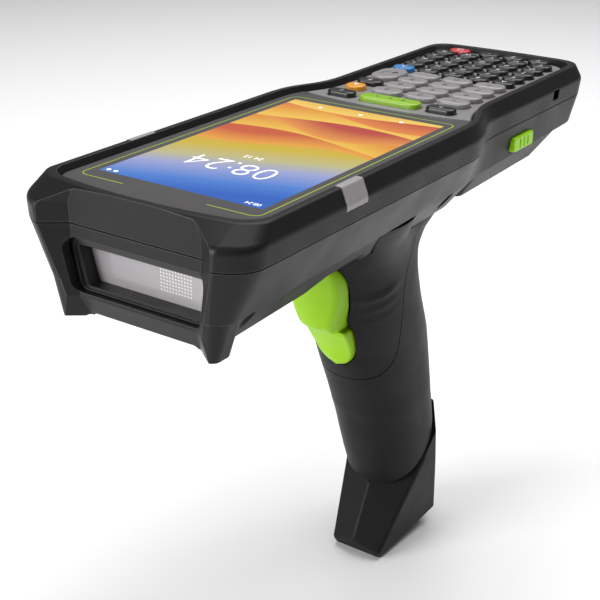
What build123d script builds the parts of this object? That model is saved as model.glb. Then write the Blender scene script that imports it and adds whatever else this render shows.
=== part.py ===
from build123d import *
import os
from functools import cache
from math import atan, copysign, cos, degrees, pi, radians, sin

# Portable barcode data terminal with a pistol grip, as separate pieces.
#
# Units are millimetres.  Every piece is drawn in the head datum: the origin is the
# centre of the picture area on top of the cover glass, -Y looks out of the scan
# window, +Y runs to the keypad end, +X is the user's left and +Z leaves the screen.
# seat() then moves it to the row frame, whose origin is the middle of the grip's sole.

# ---------------------------------------------------------------- driving dimensions
# Picture and glass
PICTURE_W = 52.3          # active picture, across
PICTURE_L = 87.1          # active picture, along
GLASS_T = 1.1
GASKET_T = 0.25
GASKET_EDGE = 0.6         # glass edge to gasket
PANEL_T = 2.4             # display panel below the glass
PANEL_EDGE = 1.6          # panel frame round the picture

# Outline of the case
HEAD_HALF = 36.7          # half width at the screen, at its fullest
TAIL_HALF = 30.0          # half width at the keypad, at its fullest
NOSE_Y = -65.4            # tips of the two cheeks beside the front face
TAIL_Y = 139.4            # rear face at its fullest
NOSE_BOW = 0.3            # the front edge stands this far ahead of its corners
NOSE_CORNER = (8.0, 9.5)  # width and length of each front corner
RIM_BOW = 2.4             # the same for the guard rim
RIM_CORNER = (5.5, 7.0)
TAIL_CORNER = 9.0
WAIST_START = 42.0        # the sides start to draw in here
WAIST_END = 71.0
WALL = 2.2

# Heights
RIM_Z = 1.6               # guard rim above the glass
BULGE_Z = -3.0            # fullest section of the sides
SEAM_Z = -8.3             # upper to lower housing
WEB_T = 1.8               # web that carries glass and keypad
EDGE_Z = -21.5            # lower edge of the sides, below the middle of the picture
EDGE_SLOPE = 0.028        # that edge climbs towards the tail
BELLY_Z = -31.4           # underside below the middle of the picture
BELLY_SLOPE = 0.034
LEG_Z = -33.8             # tips of the two front legs

# Insets of the other sections from the fullest one
RIM_INSET = 1.8
RIM_W = 1.9               # width of the flat on top of the rim
RIM_DRAFT = 1.4           # the rim's inner wall leans in by this much
RIM_R = 0.8               # rounding of its outer edge
BULGE_R = 2.5             # and of the fullest section
RIM_SETBACK = 5.2         # the front of the rim stands back from the nose
SEAM_INSET = 0.5
EDGE_HEAD_INSET = 7.6
EDGE_TAIL_INSET = 2.3
EDGE_SETBACK = 2.2
EDGE_CORNER = (4.5, 5.5)  # front corners at the lower edge
BELLY_HALF = 20.5
BELLY_TOP_HALF = 28.0
BELLY_NOSE_Y = -62.8
BELLY_REAR_Y = 63.5
BELLY_TAPER = 2.0
BELLY_R = 5.0
RELIEF = (                # finger space cut from the underside ahead of the trigger: y, z
    (-22.0, -36.0),
    (-19.6, -32.6),
    (-10.4, -29.2),
    (-3.0, -28.6),
    (8.0, -28.6),
    (11.0, -36.0),
)
FACE_Y = -60.2            # front face, recessed between the cheeks
FACE_SLOPE = 0.74         # the cheeks' inner sides run forward at this rate
FACE_LEVELS = (           # height, half width and y of the flat of the face
    (2.0, 16.6, FACE_Y),
    (0.3, 19.6, FACE_Y),
    (-2.8, 21.0, FACE_Y),
    (-8.3, 21.0, FACE_Y),
    (-27.6, 19.0, FACE_Y),
    (-36.0, 17.4, -56.6),
)
SEAM_GAP = 0.35           # shadow line between the housings
LIP_GAP = 0.1
LIP_ROOT = 0.3            # the lip's root is sunk into the wall by this much
LIP_RISE = 1.2
LIP_T = 1.0               # inner lip that bridges the shadow line
LIP_H = 2.0

# Fits
SEAT_GAP = 0.15           # a piece in its pocket
RUN_GAP = 0.3             # a moving piece beside its guide
PIN_FIT = 0.05            # radial, a pin in its running bore

# Scan window
WINDOW_TOP_Z = -12.0
WINDOW_BOTTOM_Z = -26.6
WINDOW_TOP_HALF = 23.4
WINDOW_BOTTOM_HALF = 20.6
WINDOW_R = 3.2
BEZEL_SETBACK = 1.6       # front face to the first step
BEZEL_STEP = 1.3          # width of each of the two steps round the pane
SILL_SHARE = 0.5          # the steps are narrower than that under the pane
STEP_DEPTH = 2.3
PANE_T = 1.5
ENGINE = (30.0, 13.0, 11.6)
ENGINE_GAP = 3.2          # pane to engine
ENGINE_Z = -18.2
BEZEL_FLANGE = 2.4
BEZEL_SEAT_Y = FACE_Y + WALL
LENS_R = 3.6
CHIN_Z = -32.6            # lower edge of the front face between the legs
CHIN_HALF = 17.6
LEG_TOP_HALF = 28.4
LEG_TIP_HALF = 25.2
LEG_TOP_W = 9.6
LEG_W = 6.0
LEG_L = 11.0
LEG_ROOT = 1.2            # the legs start this far above the lower edge
LEG_TOP_R = 4.2
LEG_TIP_R = 2.2
SIDE_HOLE = (110.8, 115.2, -6.3, -3.0)  # strap hole in the left side: y and z

# Keys
PLATE_T = 1.2             # keypad plate
KEY_TOP = 1.5             # crown of a key above the glass
KEY_GAP = 0.25
KEY_FLANGE = 0.4          # retaining flange, each side
KEY_FLANGE_T = 0.7
KEY_TRAVEL = 0.6
KEY_CROWN = 0.7
MAT_T = 1.0
MAT_GAP = 0.1             # pressed key to mat
DOME_R = 1.6
KEYS_Y = 56.9             # first key row
SCAN_KEY = (21.0, 5.6)
SIDE_KEY = (9.6, 4.6)
SIDE_KEY_X = 17.7
WHITE_KEY = (10.3, 5.9)
WHITE_PITCH = (11.9, 7.9)
WHITE_X = 5.3             # middle white column
WHITE_Y = 65.9
EDIT_X = -17.8            # left column beside the white keys
ORANGE_KEY = (6.6, 5.2)
FUNC_KEY = (9.0, 4.8)
ENTER_KEY = (9.8, 13.4)
SMALL_KEY = (7.6, 4.8)
SMALL_PITCH = (9.3, 7.0)
SMALL_Y = 96.3
SMALL_ROWS = 5
LAST_Y = 130.0
LAST_X = (-15.4, -3.9, 5.4, 15.0)
KEYPAD_BULGE_Y = 49.9     # the keypad plate bows towards the screen
KEYPAD_SIDE_Y = 55.1
PLATE_GAP = 0.6           # shadow line between glass and keypad plate
KEY_HOLE_HALF = 23.4
PLATE_EDGE = 0.3
WELL_GAP = 0.8

# Boards, chassis and battery
CHASSIS_T = 1.0
CHASSIS_FLANGE = 2.6
BOARD_T = 1.2
BOARD_Z = -5.9            # top of the main board
BOARD_HALF = 20.8
BOARD_Y0 = -48.0
BOARD_Y1 = 127.5
CHIP_T = 1.3
BOARD_CHIPS = ((-8.0, -30.0, 14.0, 14.0), (9.0, -28.0, 12.0, 10.0), (0.0, 0.0, 24.0, 18.0),
               (-10.0, 34.0, 10.0, 8.0), (0.0, 90.0, 12.0, 12.0))
BATTERY_HALF = 23.2
BATTERY_Y0 = 66.5
BATTERY_Y1 = 126.5
BATTERY_TOP_Z = -11.4
BATTERY_SHELL = (26.2, 65.3, 127.6)     # outer shell at the lower edge: half width, ends
BATTERY_BASE = (20.2, 65.9, 119.4)      # and at its underside
BATTERY_BASE_Z = -30.4
BATTERY_BASE_SLOPE = 0.02
BATTERY_R = 3.0
BAY_WALL = 1.3
LATCH_Y = 90.7
LATCH_Z = -15.1
LATCH_L = 13.4
LATCH_H = 4.6
LATCH_TRAVEL = 1.2
LATCH_SPARE = 0.2         # left between the pressed latch and the battery's guide
LATCH_GROOVE = 0.5
CONTACT_X = (-6.0, -2.0, 2.0, 6.0)
CONTACT_Z = (-17.5, -13.0)
LATCH_FLANGE = 1.0        # retaining flange behind the housing wall
LATCH_EAR = 1.1           # the flange reaches past the cap at both ends
LATCH_X = 29.9            # outer face

# Light pipes on the rim
PIPE_Y = -18.6
PIPE_L = 9.6
PIPE_T = 1.1
PIPE_PROUD = 0.15
PIPE_DROP = 6.0

# Grip: height, centre, half width and half depth of each section
GRIP_STATIONS = (
    (-24.0, 40.0, 20.8, 33.0),
    (-31.0, 40.0, 20.0, 31.0),
    (-36.0, 39.0, 18.2, 26.0),
    (-43.0, 38.6, 17.2, 22.6),
    (-56.0, 42.4, 16.7, 20.8),
    (-74.0, 49.4, 16.2, 20.4),
    (-100.0, 57.2, 15.3, 17.8),
    (-118.0, 62.3, 14.8, 16.4),
    (-140.0, 69.0, 14.3, 15.8),
)
GRIP_POWER = 2.3          # 2 is an ellipse, more is squarer
GRIP_WALL = 2.4
COVER_SEAM_Y = 40.6       # front cover to grip, seen from the side
COVER_BOTTOM_Z = -85.2
COVER_R = 13.0
COVER_GAP = 0.3
BOOT_FRONT_Y = 50.6       # front end of the boot's slanted collar
BOOT_FRONT_Z = -133.0
BOOT_SLANT = 42.0         # degrees
BOOT_GAP = 0.9            # shadow gap above the boot
BOOT_R = 1.5
SOLE_Y = 62.0
SOLE_Z = -154.0
SOLE_TILT = 10.0

# Trigger
PIVOT_Y = 24.0
PIVOT_Z = -38.5
PIN_R = 1.5
HUB_R = 3.6
TRIGGER_SWING = 7.0

TRIGGER_GAP = 0.6
CROWN = 0.7               # the front bulges by this much across its width
LOBE_BEVEL = 1.8
TONGUE_BEVEL = 0.9
LOBE_LEVELS = (           # height, half width, front, back
    (-34.8, 3.4, 13.6, 19.8),
    (-37.5, 6.4, 13.1, 19.8),
    (-41.0, 8.5, 12.9, 19.8),
    (-45.0, 9.4, 13.5, 20.2),
    (-49.5, 9.1, 14.9, 21.2),
    (-54.0, 8.1, 15.8, 22.8),
    (-57.5, 6.7, 16.0, 24.4),
    (-60.0, 5.8, 16.5, 25.6),
    (-62.6, 5.6, 18.8, 27.2),
)
TONGUE_LEVELS = (
    (-62.6, 5.6, 20.9, 27.2),
    (-63.2, 6.9, 21.1, 27.6),
    (-64.5, 7.6, 21.7, 28.2),
    (-67.0, 7.6, 23.6, 29.4),
    (-71.0, 6.6, 26.0, 31.2),
    (-74.5, 5.0, 27.4, 32.4),
    (-77.0, 3.0, 28.4, 33.0),
    (-78.0, 1.6, 29.0, 33.0),
)
PIN_HALF = 13.0
HUB_HALF = 9.0
ARM_HALF = 7.2
ARM_REACH = 4.4           # from the pin to the back of the lobe
SPRING_HALF = 3.4         # room for the coil between the two halves of the hub
SPRING_WIRE = 0.7
TONGUE_BACK = 31.2        # back of the tongue at the switch's lower edge
SWITCH_Z = -68.0
SWITCH = (8.0, 12.0, 8.0)
PLUNGER_R = 1.2
PLUNGER_L = 1.2

# Inside the grip
GRIP_POINTS = 24
GRIP_BLEND = 2            # sections made from each pair of driving ones
GRIP_SEAT = 0.3           # grip to case
GRIP_REAR_Y = 64.4        # the neck ends ahead of the battery
GRIP_NECK_Z = -50.0
NECK_REACH = 10.0
SADDLE_T = 1.3            # shoulders of the neck that hug the underside
SADDLE_Y0 = 9.0
SADDLE_Y1 = 42.0
SADDLE_Z = -23.0
COVER_TOP_Y = 45.5
COVER_BEND_Z = -52.0
CORE_HALF = 8.0
CORE_PROFILE = (          # side view of the spine
    (44.0, -28.0), (50.0, -28.0), (50.6, -56.0), (56.5, -76.0), (61.5, -100.0), (62.2, -103.0),
    (55.4, -103.0), (54.5, -100.0), (48.6, -80.0), (43.2, -66.0), (43.0, -56.0),
)
FLANGE_HALF = 14.0
FLANGE_Y0 = 20.0
FLANGE_Y1 = 58.0
FLANGE_FACE_Z = BELLY_Z - 2.6
GRIP_SCREW_X = 10.5
GRIP_SCREW_Y = (31.0, 53.0)
GRIP_BOSS = 5.0
CABLE_Y = 36.0
PLUG_RISE = 9.0
BOOT_HALF = 15.2
BOOT_Y = (36.0, 92.0)
BOOT_BASE_Z = -162.0
BOOT_FACES = (            # a point on each face and the way the face looks
    ((0.0, 49.4, -135.1), (0.348, -0.827, 0.441)),     # prow either side of the ridge
    ((13.0, 54.7, -135.8), (0.988, -0.076, -0.134)),   # flanks
    ((15.0, 70.7, -130.0), (0.82, 0.57, 0.04)),        # rear corners
    ((0.0, 84.2, -145.0), (0.0, 0.983, 0.186)),        # heel
    ((0.0, 84.2, -145.0), (0.0, 0.67, -0.74)),         # heel to sole
    ((0.0, 41.4, -151.5), (0.0, -0.88, -0.47)),        # toe to sole
)

# Fasteners
SCREW_R = 1.25
SCREW_HEAD_R = 2.3
SCREW_HEAD_H = 1.6
SCREW_SEAT = 3.2          # underside of a head above the case's lower edge
SCREW_BITE = 4.2          # thread in the upper boss
SCREW_PLACES = ((25.6, -49.0), (24.6, 49.6), (22.5, 129.9))
THREAD_GAP = 0.02
BOSS_R = 2.6

# ---------------------------------------------------------------- derived values
LEDGE_Z = -(GLASS_T + GASKET_T)
WEB_Z = LEDGE_Z - WEB_T
FLANGE_TOP_Z = LEDGE_Z - RUN_GAP
FLANGE_Z = FLANGE_TOP_Z - KEY_FLANGE_T
MAT_TOP_Z = FLANGE_Z - KEY_TRAVEL - MAT_GAP
PANEL_Z = -GLASS_T - PANEL_T
PANE_Y = FACE_Y + BEZEL_SETBACK + 2 * STEP_DEPTH
ENGINE_Y = PANE_Y + PANE_T + ENGINE_GAP
FACE_GROWTH = (1 - cos(atan(FACE_SLOPE))) / sin(atan(FACE_SLOPE))
LATCH_FLANGE_X = BATTERY_HALF + RUN_GAP + LATCH_TRAVEL + LATCH_SPARE
PLUNGER_Y = TONGUE_BACK + (PIVOT_Z - SWITCH_Z) * sin(radians(TRIGGER_SWING)) + RUN_GAP


# ---------------------------------------------------------------- shared shapes
def seat(shape):
    """Move a piece from the head datum to the row frame."""
    return Pos(0, -SOLE_Y, -SOLE_Z) * shape


def save(name, shape):
    """Write one named piece."""
    export_step(seat(shape), f"parts/{name}.step")


def box(x0, x1, y0, y1, z0, z1):
    """Block between two corners."""
    return Pos((x0 + x1) / 2, (y0 + y1) / 2, (z0 + z1) / 2) * Box(x1 - x0, y1 - y0, z1 - z0)


def pillar(x, y, radius, z0, z1):
    """Upright cylinder."""
    return Pos(x, y, (z0 + z1) / 2) * Cylinder(radius, z1 - z0)


def crossbar(y, z, radius, x0, x1):
    """Cylinder along X."""
    return Pos((x0 + x1) / 2, y, z) * Rot(Y=90) * Cylinder(radius, x1 - x0)


def both_sides(shape):
    """The shape and its mirror image across the middle plane."""
    return shape + mirror(shape, Plane.YZ)


def edge_z(y):
    return EDGE_Z + EDGE_SLOPE * y


def belly_z(y):
    return BELLY_Z + BELLY_SLOPE * y


def sloped(face, z, slope):
    """Lift a plan face to height z at the datum and tilt it along Y."""
    return Pos(0, 0, z) * Rot(X=degrees(atan(slope))) * face


def outline(head, tail, nose, rear, corner=NOSE_CORNER, bow=NOSE_BOW):
    """Closed plan outline of the case: bowed nose, cut corners, waist, square tail."""
    corner_w, corner_l = corner
    shoulder = nose + bow
    side_y = shoulder + corner_l
    nose_x = head - corner_w
    tail_x = tail - TAIL_CORNER
    waist = (WAIST_START + WAIST_END) / 2
    right = [
        Bezier((nose_x, shoulder), (head, shoulder + corner_l / 3), (head, side_y)),
        Line((head, side_y), (head, WAIST_START)),
        Bezier((head, WAIST_START), (head, waist), (tail, waist), (tail, WAIST_END)),
        Line((tail, WAIST_END), (tail, rear - TAIL_CORNER)),
        Bezier((tail, rear - TAIL_CORNER), (tail, rear - 1), (tail_x, rear - 0.6)),
    ]
    left = [mirror(edge, Plane.YZ) for edge in right]
    front = ThreePointArc((-nose_x, shoulder), (0, nose), (nose_x, shoulder))
    back = ThreePointArc((tail_x, rear - 0.6), (0, rear), (-tail_x, rear - 0.6))
    return make_face([front, *right, back, *left])


def level_edges(body, z):
    """Edges that lie in the horizontal plane at z."""
    return [edge for edge in body.edges()
            if abs(edge.bounding_box().min.Z - z) + abs(edge.bounding_box().max.Z - z) < 0.1]


@cache
def scoop(depth=0.0):
    """Space ahead of the front face and between the cheeks, grown by depth."""
    def level(z, half, y):
        flat = half + depth * FACE_GROWTH
        back, front = y + depth, NOSE_Y - WALL
        reach = flat + (back - front) / FACE_SLOPE
        plan = Polyline((-flat, back), (flat, back), (reach, front), (-reach, front), close=True)
        return Pos(0, 0, z) * make_face(plan)
    levels = [level(*station) for station in FACE_LEVELS]
    return sum_solids([loft(list(pair), ruled=True) for pair in zip(levels, levels[1:])])


def sum_solids(solids):
    """All the solids as one."""
    total = solids[0]
    for solid in solids[1:]:
        total = total + solid
    return total


def upper_level(inset, z):
    """Section of the upper case below the fullest one, drawn in by inset."""
    return Pos(0, 0, z) * outline(HEAD_HALF - inset, TAIL_HALF - inset, NOSE_Y + inset, TAIL_Y - inset)


def rim_level(inset, z):
    """Section at the guard rim, drawn in by inset."""
    nose = NOSE_Y + RIM_SETBACK - RIM_INSET + inset
    face = outline(HEAD_HALF - inset, TAIL_HALF - inset, nose, TAIL_Y - inset, RIM_CORNER, RIM_BOW)
    return Pos(0, 0, z) * face


@cache
def upper_skin(inset=0.0):
    """Solid of the case above the seam, without the front recess."""
    seam = Pos(0, 0, SEAM_Z) * outline(HEAD_HALF - SEAM_INSET - inset, TAIL_HALF - SEAM_INSET - inset,
                                       NOSE_Y + inset, TAIL_Y - SEAM_INSET - inset)
    bulge = upper_level(inset, BULGE_Z)
    rim = rim_level(RIM_INSET + inset, RIM_Z - min(inset, 0))
    body = loft([seam, bulge], ruled=True) + loft([bulge, rim], ruled=True)
    body = fillet(level_edges(body, RIM_Z - min(inset, 0)), RIM_R)
    return fillet(level_edges(body, BULGE_Z), BULGE_R)


def pocket_plan(draw, front):
    """Plan inside the guard rim: drawn in at the sides, and by front at the nose."""
    return outline(HEAD_HALF - draw, TAIL_HALF - draw, NOSE_Y + RIM_SETBACK + front, TAIL_Y - draw,
                   RIM_CORNER, RIM_BOW)


@cache
def rim_pocket(inset=0.0, z0=LEDGE_Z, z1=RIM_Z):
    """Hollow inside the guard rim, from z0 to z1."""
    def level(z):
        draw = RIM_INSET + RIM_W + RIM_DRAFT * (RIM_Z - z) / (RIM_Z - LEDGE_Z) + inset
        return Pos(0, 0, z) * pocket_plan(draw, RIM_W + inset)
    return loft([level(z0), level(z1)], ruled=True)


@cache
def lower_skin(inset=0.0, floor=0.0):
    """Solid of the case from the seam to the lower edge of its sides."""
    seam = outline(HEAD_HALF - SEAM_INSET - inset, TAIL_HALF - SEAM_INSET - inset,
                   NOSE_Y + inset, TAIL_Y - SEAM_INSET - inset)
    edge = outline(HEAD_HALF - EDGE_HEAD_INSET - inset, TAIL_HALF - EDGE_TAIL_INSET - inset,
                   NOSE_Y + EDGE_SETBACK + inset, TAIL_Y - EDGE_TAIL_INSET - inset, EDGE_CORNER)
    return loft([Pos(0, 0, SEAM_Z) * seam, sloped(edge, EDGE_Z + floor, EDGE_SLOPE)], ruled=True)


def relief(depth=0.0):
    """Wedge cut from the underside ahead of the trigger, grown by depth."""
    face = make_face(Polyline(*RELIEF, close=True))
    if depth:
        face = offset(face, depth, kind=Kind.INTERSECTION)
    return Pos(-HEAD_HALF, 0, 0) * extrude(Plane.YZ * face, 2 * HEAD_HALF)


def slab(half, y0, y1, radius=BELLY_R):
    """Rounded rectangle in plan, straddling the middle plane."""
    return Pos(0, (y0 + y1) / 2) * RectangleRounded(2 * half, y1 - y0, radius)


@cache
def belly_skin(inset=0.0, floor=0.0):
    """Solid of the underside below the head."""
    top = slab(BELLY_TOP_HALF - inset, BELLY_NOSE_Y + inset, BELLY_REAR_Y - inset)
    base = slab(BELLY_HALF - inset, BELLY_NOSE_Y + inset, BELLY_REAR_Y - BELLY_TAPER - inset)
    levels = [sloped(top, EDGE_Z + max(floor, 0), EDGE_SLOPE), sloped(base, BELLY_Z + floor, BELLY_SLOPE)]
    return loft(levels, ruled=True)


def bow_region(gap=0.0):
    """Everything on the keypad's side of the bowed line between glass and keypad."""
    far = TAIL_Y + WALL
    wide = HEAD_HALF
    side, mid = KEYPAD_SIDE_Y + gap, KEYPAD_BULGE_Y + gap
    face = make_face([
        ThreePointArc((-wide, side), (0, mid), (wide, side)),
        Line((wide, side), (wide, far)),
        Line((wide, far), (-wide, far)),
        Line((-wide, far), (-wide, side)),
    ])
    return Pos(0, 0, WEB_Z) * extrude(face, RIM_Z - WEB_Z)


# ---------------------------------------------------------------- key layout
@cache
def key_rows():
    """All keys by name: list of (x, y, width, length) on each node."""
    layout = {
        "scan_key": [(0, KEYS_Y, *SCAN_KEY)],
        "soft_key_left": [(-SIDE_KEY_X, KEYS_Y, *SIDE_KEY)],
        "soft_key_right": [(SIDE_KEY_X, KEYS_Y, *SIDE_KEY)],
        "shift_key": [(EDIT_X - 0.5, WHITE_Y, *ORANGE_KEY)],
        "function_key": [(EDIT_X, WHITE_Y + WHITE_PITCH[1], *FUNC_KEY)],
        "enter_key": [(EDIT_X, WHITE_Y + 2.5 * WHITE_PITCH[1], *ENTER_KEY)],
    }
    for row in range(4):
        for column in range(3):
            x = WHITE_X + (column - 1) * WHITE_PITCH[0]
            y = WHITE_Y + row * WHITE_PITCH[1]
            layout[f"number_key_{row + 1}{column + 1}"] = [(x, y, *WHITE_KEY)]
    small_x = [(column - 2) * SMALL_PITCH[0] for column in range(5)]
    layout["alpha_key"] = [(small_x[0], SMALL_Y, *SMALL_KEY)]
    for row in range(SMALL_ROWS):
        y = SMALL_Y + row * SMALL_PITCH[1]
        first = 1 if row == 0 else 0
        layout[f"letter_keys_{row + 1}"] = [(x, y, *SMALL_KEY) for x in small_x[first:]]
    layout["power_key"] = [(LAST_X[0], LAST_Y, *SMALL_KEY)]
    layout["letter_keys_6"] = [(x, LAST_Y, *SMALL_KEY) for x in LAST_X[1:]]
    return layout


def key_face(width, length, grow=0.0):
    """Rounded plan of one key."""
    w, l = width + 2 * grow, length + 2 * grow
    return RectangleRounded(w, l, min(w, l) * 0.45)


def key(x, y, width, length):
    """One key: crowned cap that stands through the plate, with a retaining flange."""
    cap = extrude(key_face(width, length), KEY_TOP - FLANGE_Z)
    cap = fillet(cap.faces().sort_by(Axis.Z)[-1].edges(), KEY_CROWN)
    flange = extrude(key_face(width, length, KEY_FLANGE), KEY_FLANGE_T)
    return Pos(x, y, FLANGE_Z) * (cap + flange)


def key_openings(grow, z0, z1):
    """Clear holes for every key between two heights."""
    return [Pos(x, y, z0) * extrude(key_face(w, l, grow), z1 - z0)
            for keys in key_rows().values() for x, y, w, l in keys]


# ---------------------------------------------------------------- housings
def screw_places():
    """Housing screws, clear of boards and battery."""
    return [(side * x, y) for side in (-1, 1) for x, y in SCREW_PLACES]


@cache
def light_pipe(side):
    """Grey light pipe that wraps over the guard rim."""
    wrap = upper_skin(-PIPE_PROUD) - upper_skin(PIPE_T) - rim_pocket(z1=RIM_Z + 1)
    x0, x1 = sorted((side * (HEAD_HALF - RIM_INSET - RIM_W - PIPE_T), side * (HEAD_HALF + 1)))
    return wrap & box(x0, x1, PIPE_Y - PIPE_L / 2, PIPE_Y + PIPE_L / 2, RIM_Z - PIPE_DROP, RIM_Z + 1)


def upper_housing():
    """Upper shell: guard rim, web for glass and keypad, hollow underneath."""
    body = upper_skin() - scoop() - rim_pocket(z1=RIM_Z + 1)
    body -= upper_hollow()
    panel_x = PICTURE_W / 2 + PANEL_EDGE + RUN_GAP
    panel_y = PICTURE_L / 2 + PANEL_EDGE + RUN_GAP
    body -= box(-panel_x, panel_x, -panel_y, panel_y, WEB_Z, LEDGE_Z)
    body -= key_well()
    for x, y in screw_places():
        body += pillar(x, y, BOSS_R, SEAM_Z, WEB_Z)
        body -= pillar(x, y, SCREW_R, SEAM_Z, SEAM_Z + SCREW_BITE)
    body -= box(TAIL_HALF - 2 * WALL, TAIL_HALF + 1, *SIDE_HOLE)
    return body - light_pipe(1) - light_pipe(-1)


def window_face(inset=0.0):
    """Trapezoid outline of the scan window, in the XZ plane."""
    top, bottom = WINDOW_TOP_HALF - inset, WINDOW_BOTTOM_HALF - inset
    z1, z0 = WINDOW_TOP_Z - inset, WINDOW_BOTTOM_Z + (SILL_SHARE * inset if inset > SEAT_GAP else inset)
    shape = make_face(Polyline((-bottom, z0), (bottom, z0), (top, z1), (-top, z1), close=True))
    return fillet(shape.vertices(), max(WINDOW_R - inset, 0.6))


def window_prism(inset, y0, y1):
    """The window's outline run along Y."""
    return Pos(0, y1, 0) * extrude(Plane.XZ * window_face(inset), y1 - y0)


def legs():
    """Two short legs under the front corners."""
    top = Pos(LEG_TOP_HALF - LEG_TOP_W / 2, BELLY_NOSE_Y + LEG_L / 2,
              edge_z(BELLY_NOSE_Y) + LEG_ROOT) * RectangleRounded(LEG_TOP_W, LEG_L, LEG_TOP_R)
    tip = Pos(LEG_TIP_HALF - LEG_W / 2, BELLY_NOSE_Y + 1 + LEG_L / 3,
              LEG_Z) * RectangleRounded(LEG_W, LEG_L * 2 / 3, LEG_TIP_R)
    return both_sides(loft([top, tip], ruled=True))


@cache
def case_block(grow=0.0):
    """Outer solid of the lower case without its hollows."""
    return lower_skin(-grow, -grow) + belly_skin(-grow, -grow)


def lower_housing():
    """Lower shell: nose with the window opening, legs, belly and battery bay."""
    body = case_block() + legs() - scoop() - relief()
    chin = box(-CHIN_HALF, CHIN_HALF, NOSE_Y, BELLY_NOSE_Y + LEG_L - 1, LEG_Z - 2, CHIN_Z)
    body -= fillet(chin.edges().filter_by(Axis.Y).group_by(Axis.Z)[-1], 2.0)
    body -= box(-HEAD_HALF, HEAD_HALF, NOSE_Y - 1, TAIL_Y + 1, SEAM_Z - SEAM_GAP, SEAM_Z + 1)
    body -= lower_skin(WALL, WALL) + belly_skin(WALL, WALL) - scoop(WALL) - relief(WALL)
    body += seam_lip()
    body -= window_prism(0, NOSE_Y - 2, BEZEL_SEAT_Y + 1)
    body -= window_prism(-BEZEL_FLANGE - SEAT_GAP, BEZEL_SEAT_Y, ENGINE_Y)
    shelf_z = ENGINE_Z - ENGINE[2] / 2
    body += box(-10, 10, ENGINE_Y + 2, ENGINE_Y + ENGINE[1] - 1, BELLY_Z, shelf_z) & case_block()
    body = body + battery_tray() - battery_hollow()
    for x, y in screw_places():
        seat_z = edge_z(y) + SCREW_SEAT
        body += pillar(x, y, BOSS_R + 0.8, edge_z(y) - 2, SEAM_Z) & case_block()
        body -= pillar(x, y, SCREW_R + SEAT_GAP, seat_z, SEAM_Z)
        body -= pillar(x, y, SCREW_HEAD_R + SEAT_GAP, LEG_Z, seat_z)
    for x, y in grip_screw_places():
        floor = belly_z(y)
        body += pillar(x, y, BOSS_R, floor + WALL / 2, floor + WALL + GRIP_BOSS)
        body -= pillar(x, y, SCREW_R, floor - 1, floor + WALL + GRIP_BOSS - 1)
    return body - box(-6, 6, CABLE_Y - 5, CABLE_Y + 5, BELLY_Z - 2, BELLY_Z + 2 * WALL + 2)


@cache
def upper_hollow():
    """Space under the web of the upper shell."""
    seam = outline(HEAD_HALF - SEAM_INSET - WALL, TAIL_HALF - SEAM_INSET - WALL, NOSE_Y + WALL,
                   TAIL_Y - SEAM_INSET - WALL)
    return loft([Pos(0, 0, SEAM_Z) * seam, upper_level(WALL, WEB_Z)], ruled=True) - scoop(WALL)


def key_well():
    """Openings in the web under the keys; the last row's is narrower, clear of the screws."""
    front = KEYS_Y - SCAN_KEY[1] / 2 - WELL_GAP
    middle = SMALL_Y + (SMALL_ROWS - 1) * SMALL_PITCH[1] + SMALL_KEY[1] / 2 + WELL_GAP
    rear = LAST_Y + SMALL_KEY[1] / 2 + WELL_GAP
    last = LAST_X[-1] + SMALL_KEY[0] / 2 + WELL_GAP
    return (box(-KEY_HOLE_HALF, KEY_HOLE_HALF, front, middle, WEB_Z, LEDGE_Z)
            + box(-last - 0.6, last, front, rear, WEB_Z, LEDGE_Z))


def lip_plan(inset):
    """Plan at the seam, drawn in by inset all round."""
    face = outline(HEAD_HALF - SEAM_INSET - inset, TAIL_HALF - SEAM_INSET - inset, NOSE_Y + inset,
                   TAIL_Y - SEAM_INSET - inset)
    return Pos(0, 0, SEAM_Z - LIP_H) * extrude(face, LIP_H + LIP_RISE) - scoop(inset)


def seam_lip():
    """Inner lip of the lower shell that stands behind the shadow line."""
    gap = box(-HEAD_HALF, HEAD_HALF, NOSE_Y, TAIL_Y, SEAM_Z - LIP_H, SEAM_Z - SEAM_GAP)
    inner = lip_plan(WALL + LIP_GAP + LIP_T)
    return (lip_plan(WALL - LIP_ROOT) & gap) + lip_plan(WALL + LIP_GAP) - inner


def battery_tray():
    """Walls and roof round the battery, inside the lower shell."""
    x, roof = BATTERY_HALF + RUN_GAP + BAY_WALL, BATTERY_TOP_Z + RUN_GAP + BAY_WALL
    y0, y1 = BATTERY_Y0 - RUN_GAP - BAY_WALL, BATTERY_Y1 + RUN_GAP + BAY_WALL
    return box(-x, x, y0, y1, edge_z(y0) - 1, roof) & lower_skin()


def battery_hollow():
    """Space for the battery and the two latches."""
    x = BATTERY_HALF + RUN_GAP
    space = box(-x, x, BATTERY_Y0 - RUN_GAP, BATTERY_Y1 + RUN_GAP, 2 * EDGE_Z, BATTERY_TOP_Z + RUN_GAP)
    half_l, half_h = LATCH_L / 2 + RUN_GAP, LATCH_H / 2 + RUN_GAP
    cap = box(BATTERY_HALF, TAIL_HALF + 1, LATCH_Y - half_l, LATCH_Y + half_l,
              LATCH_Z - half_h, LATCH_Z + half_h)
    half_l += LATCH_EAR
    ears = box(BATTERY_HALF, LATCH_FLANGE_X + LATCH_FLANGE + RUN_GAP / 2, LATCH_Y - half_l, LATCH_Y + half_l,
               LATCH_Z - half_h, LATCH_Z + half_h)
    return space + both_sides(cap + ears)


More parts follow.
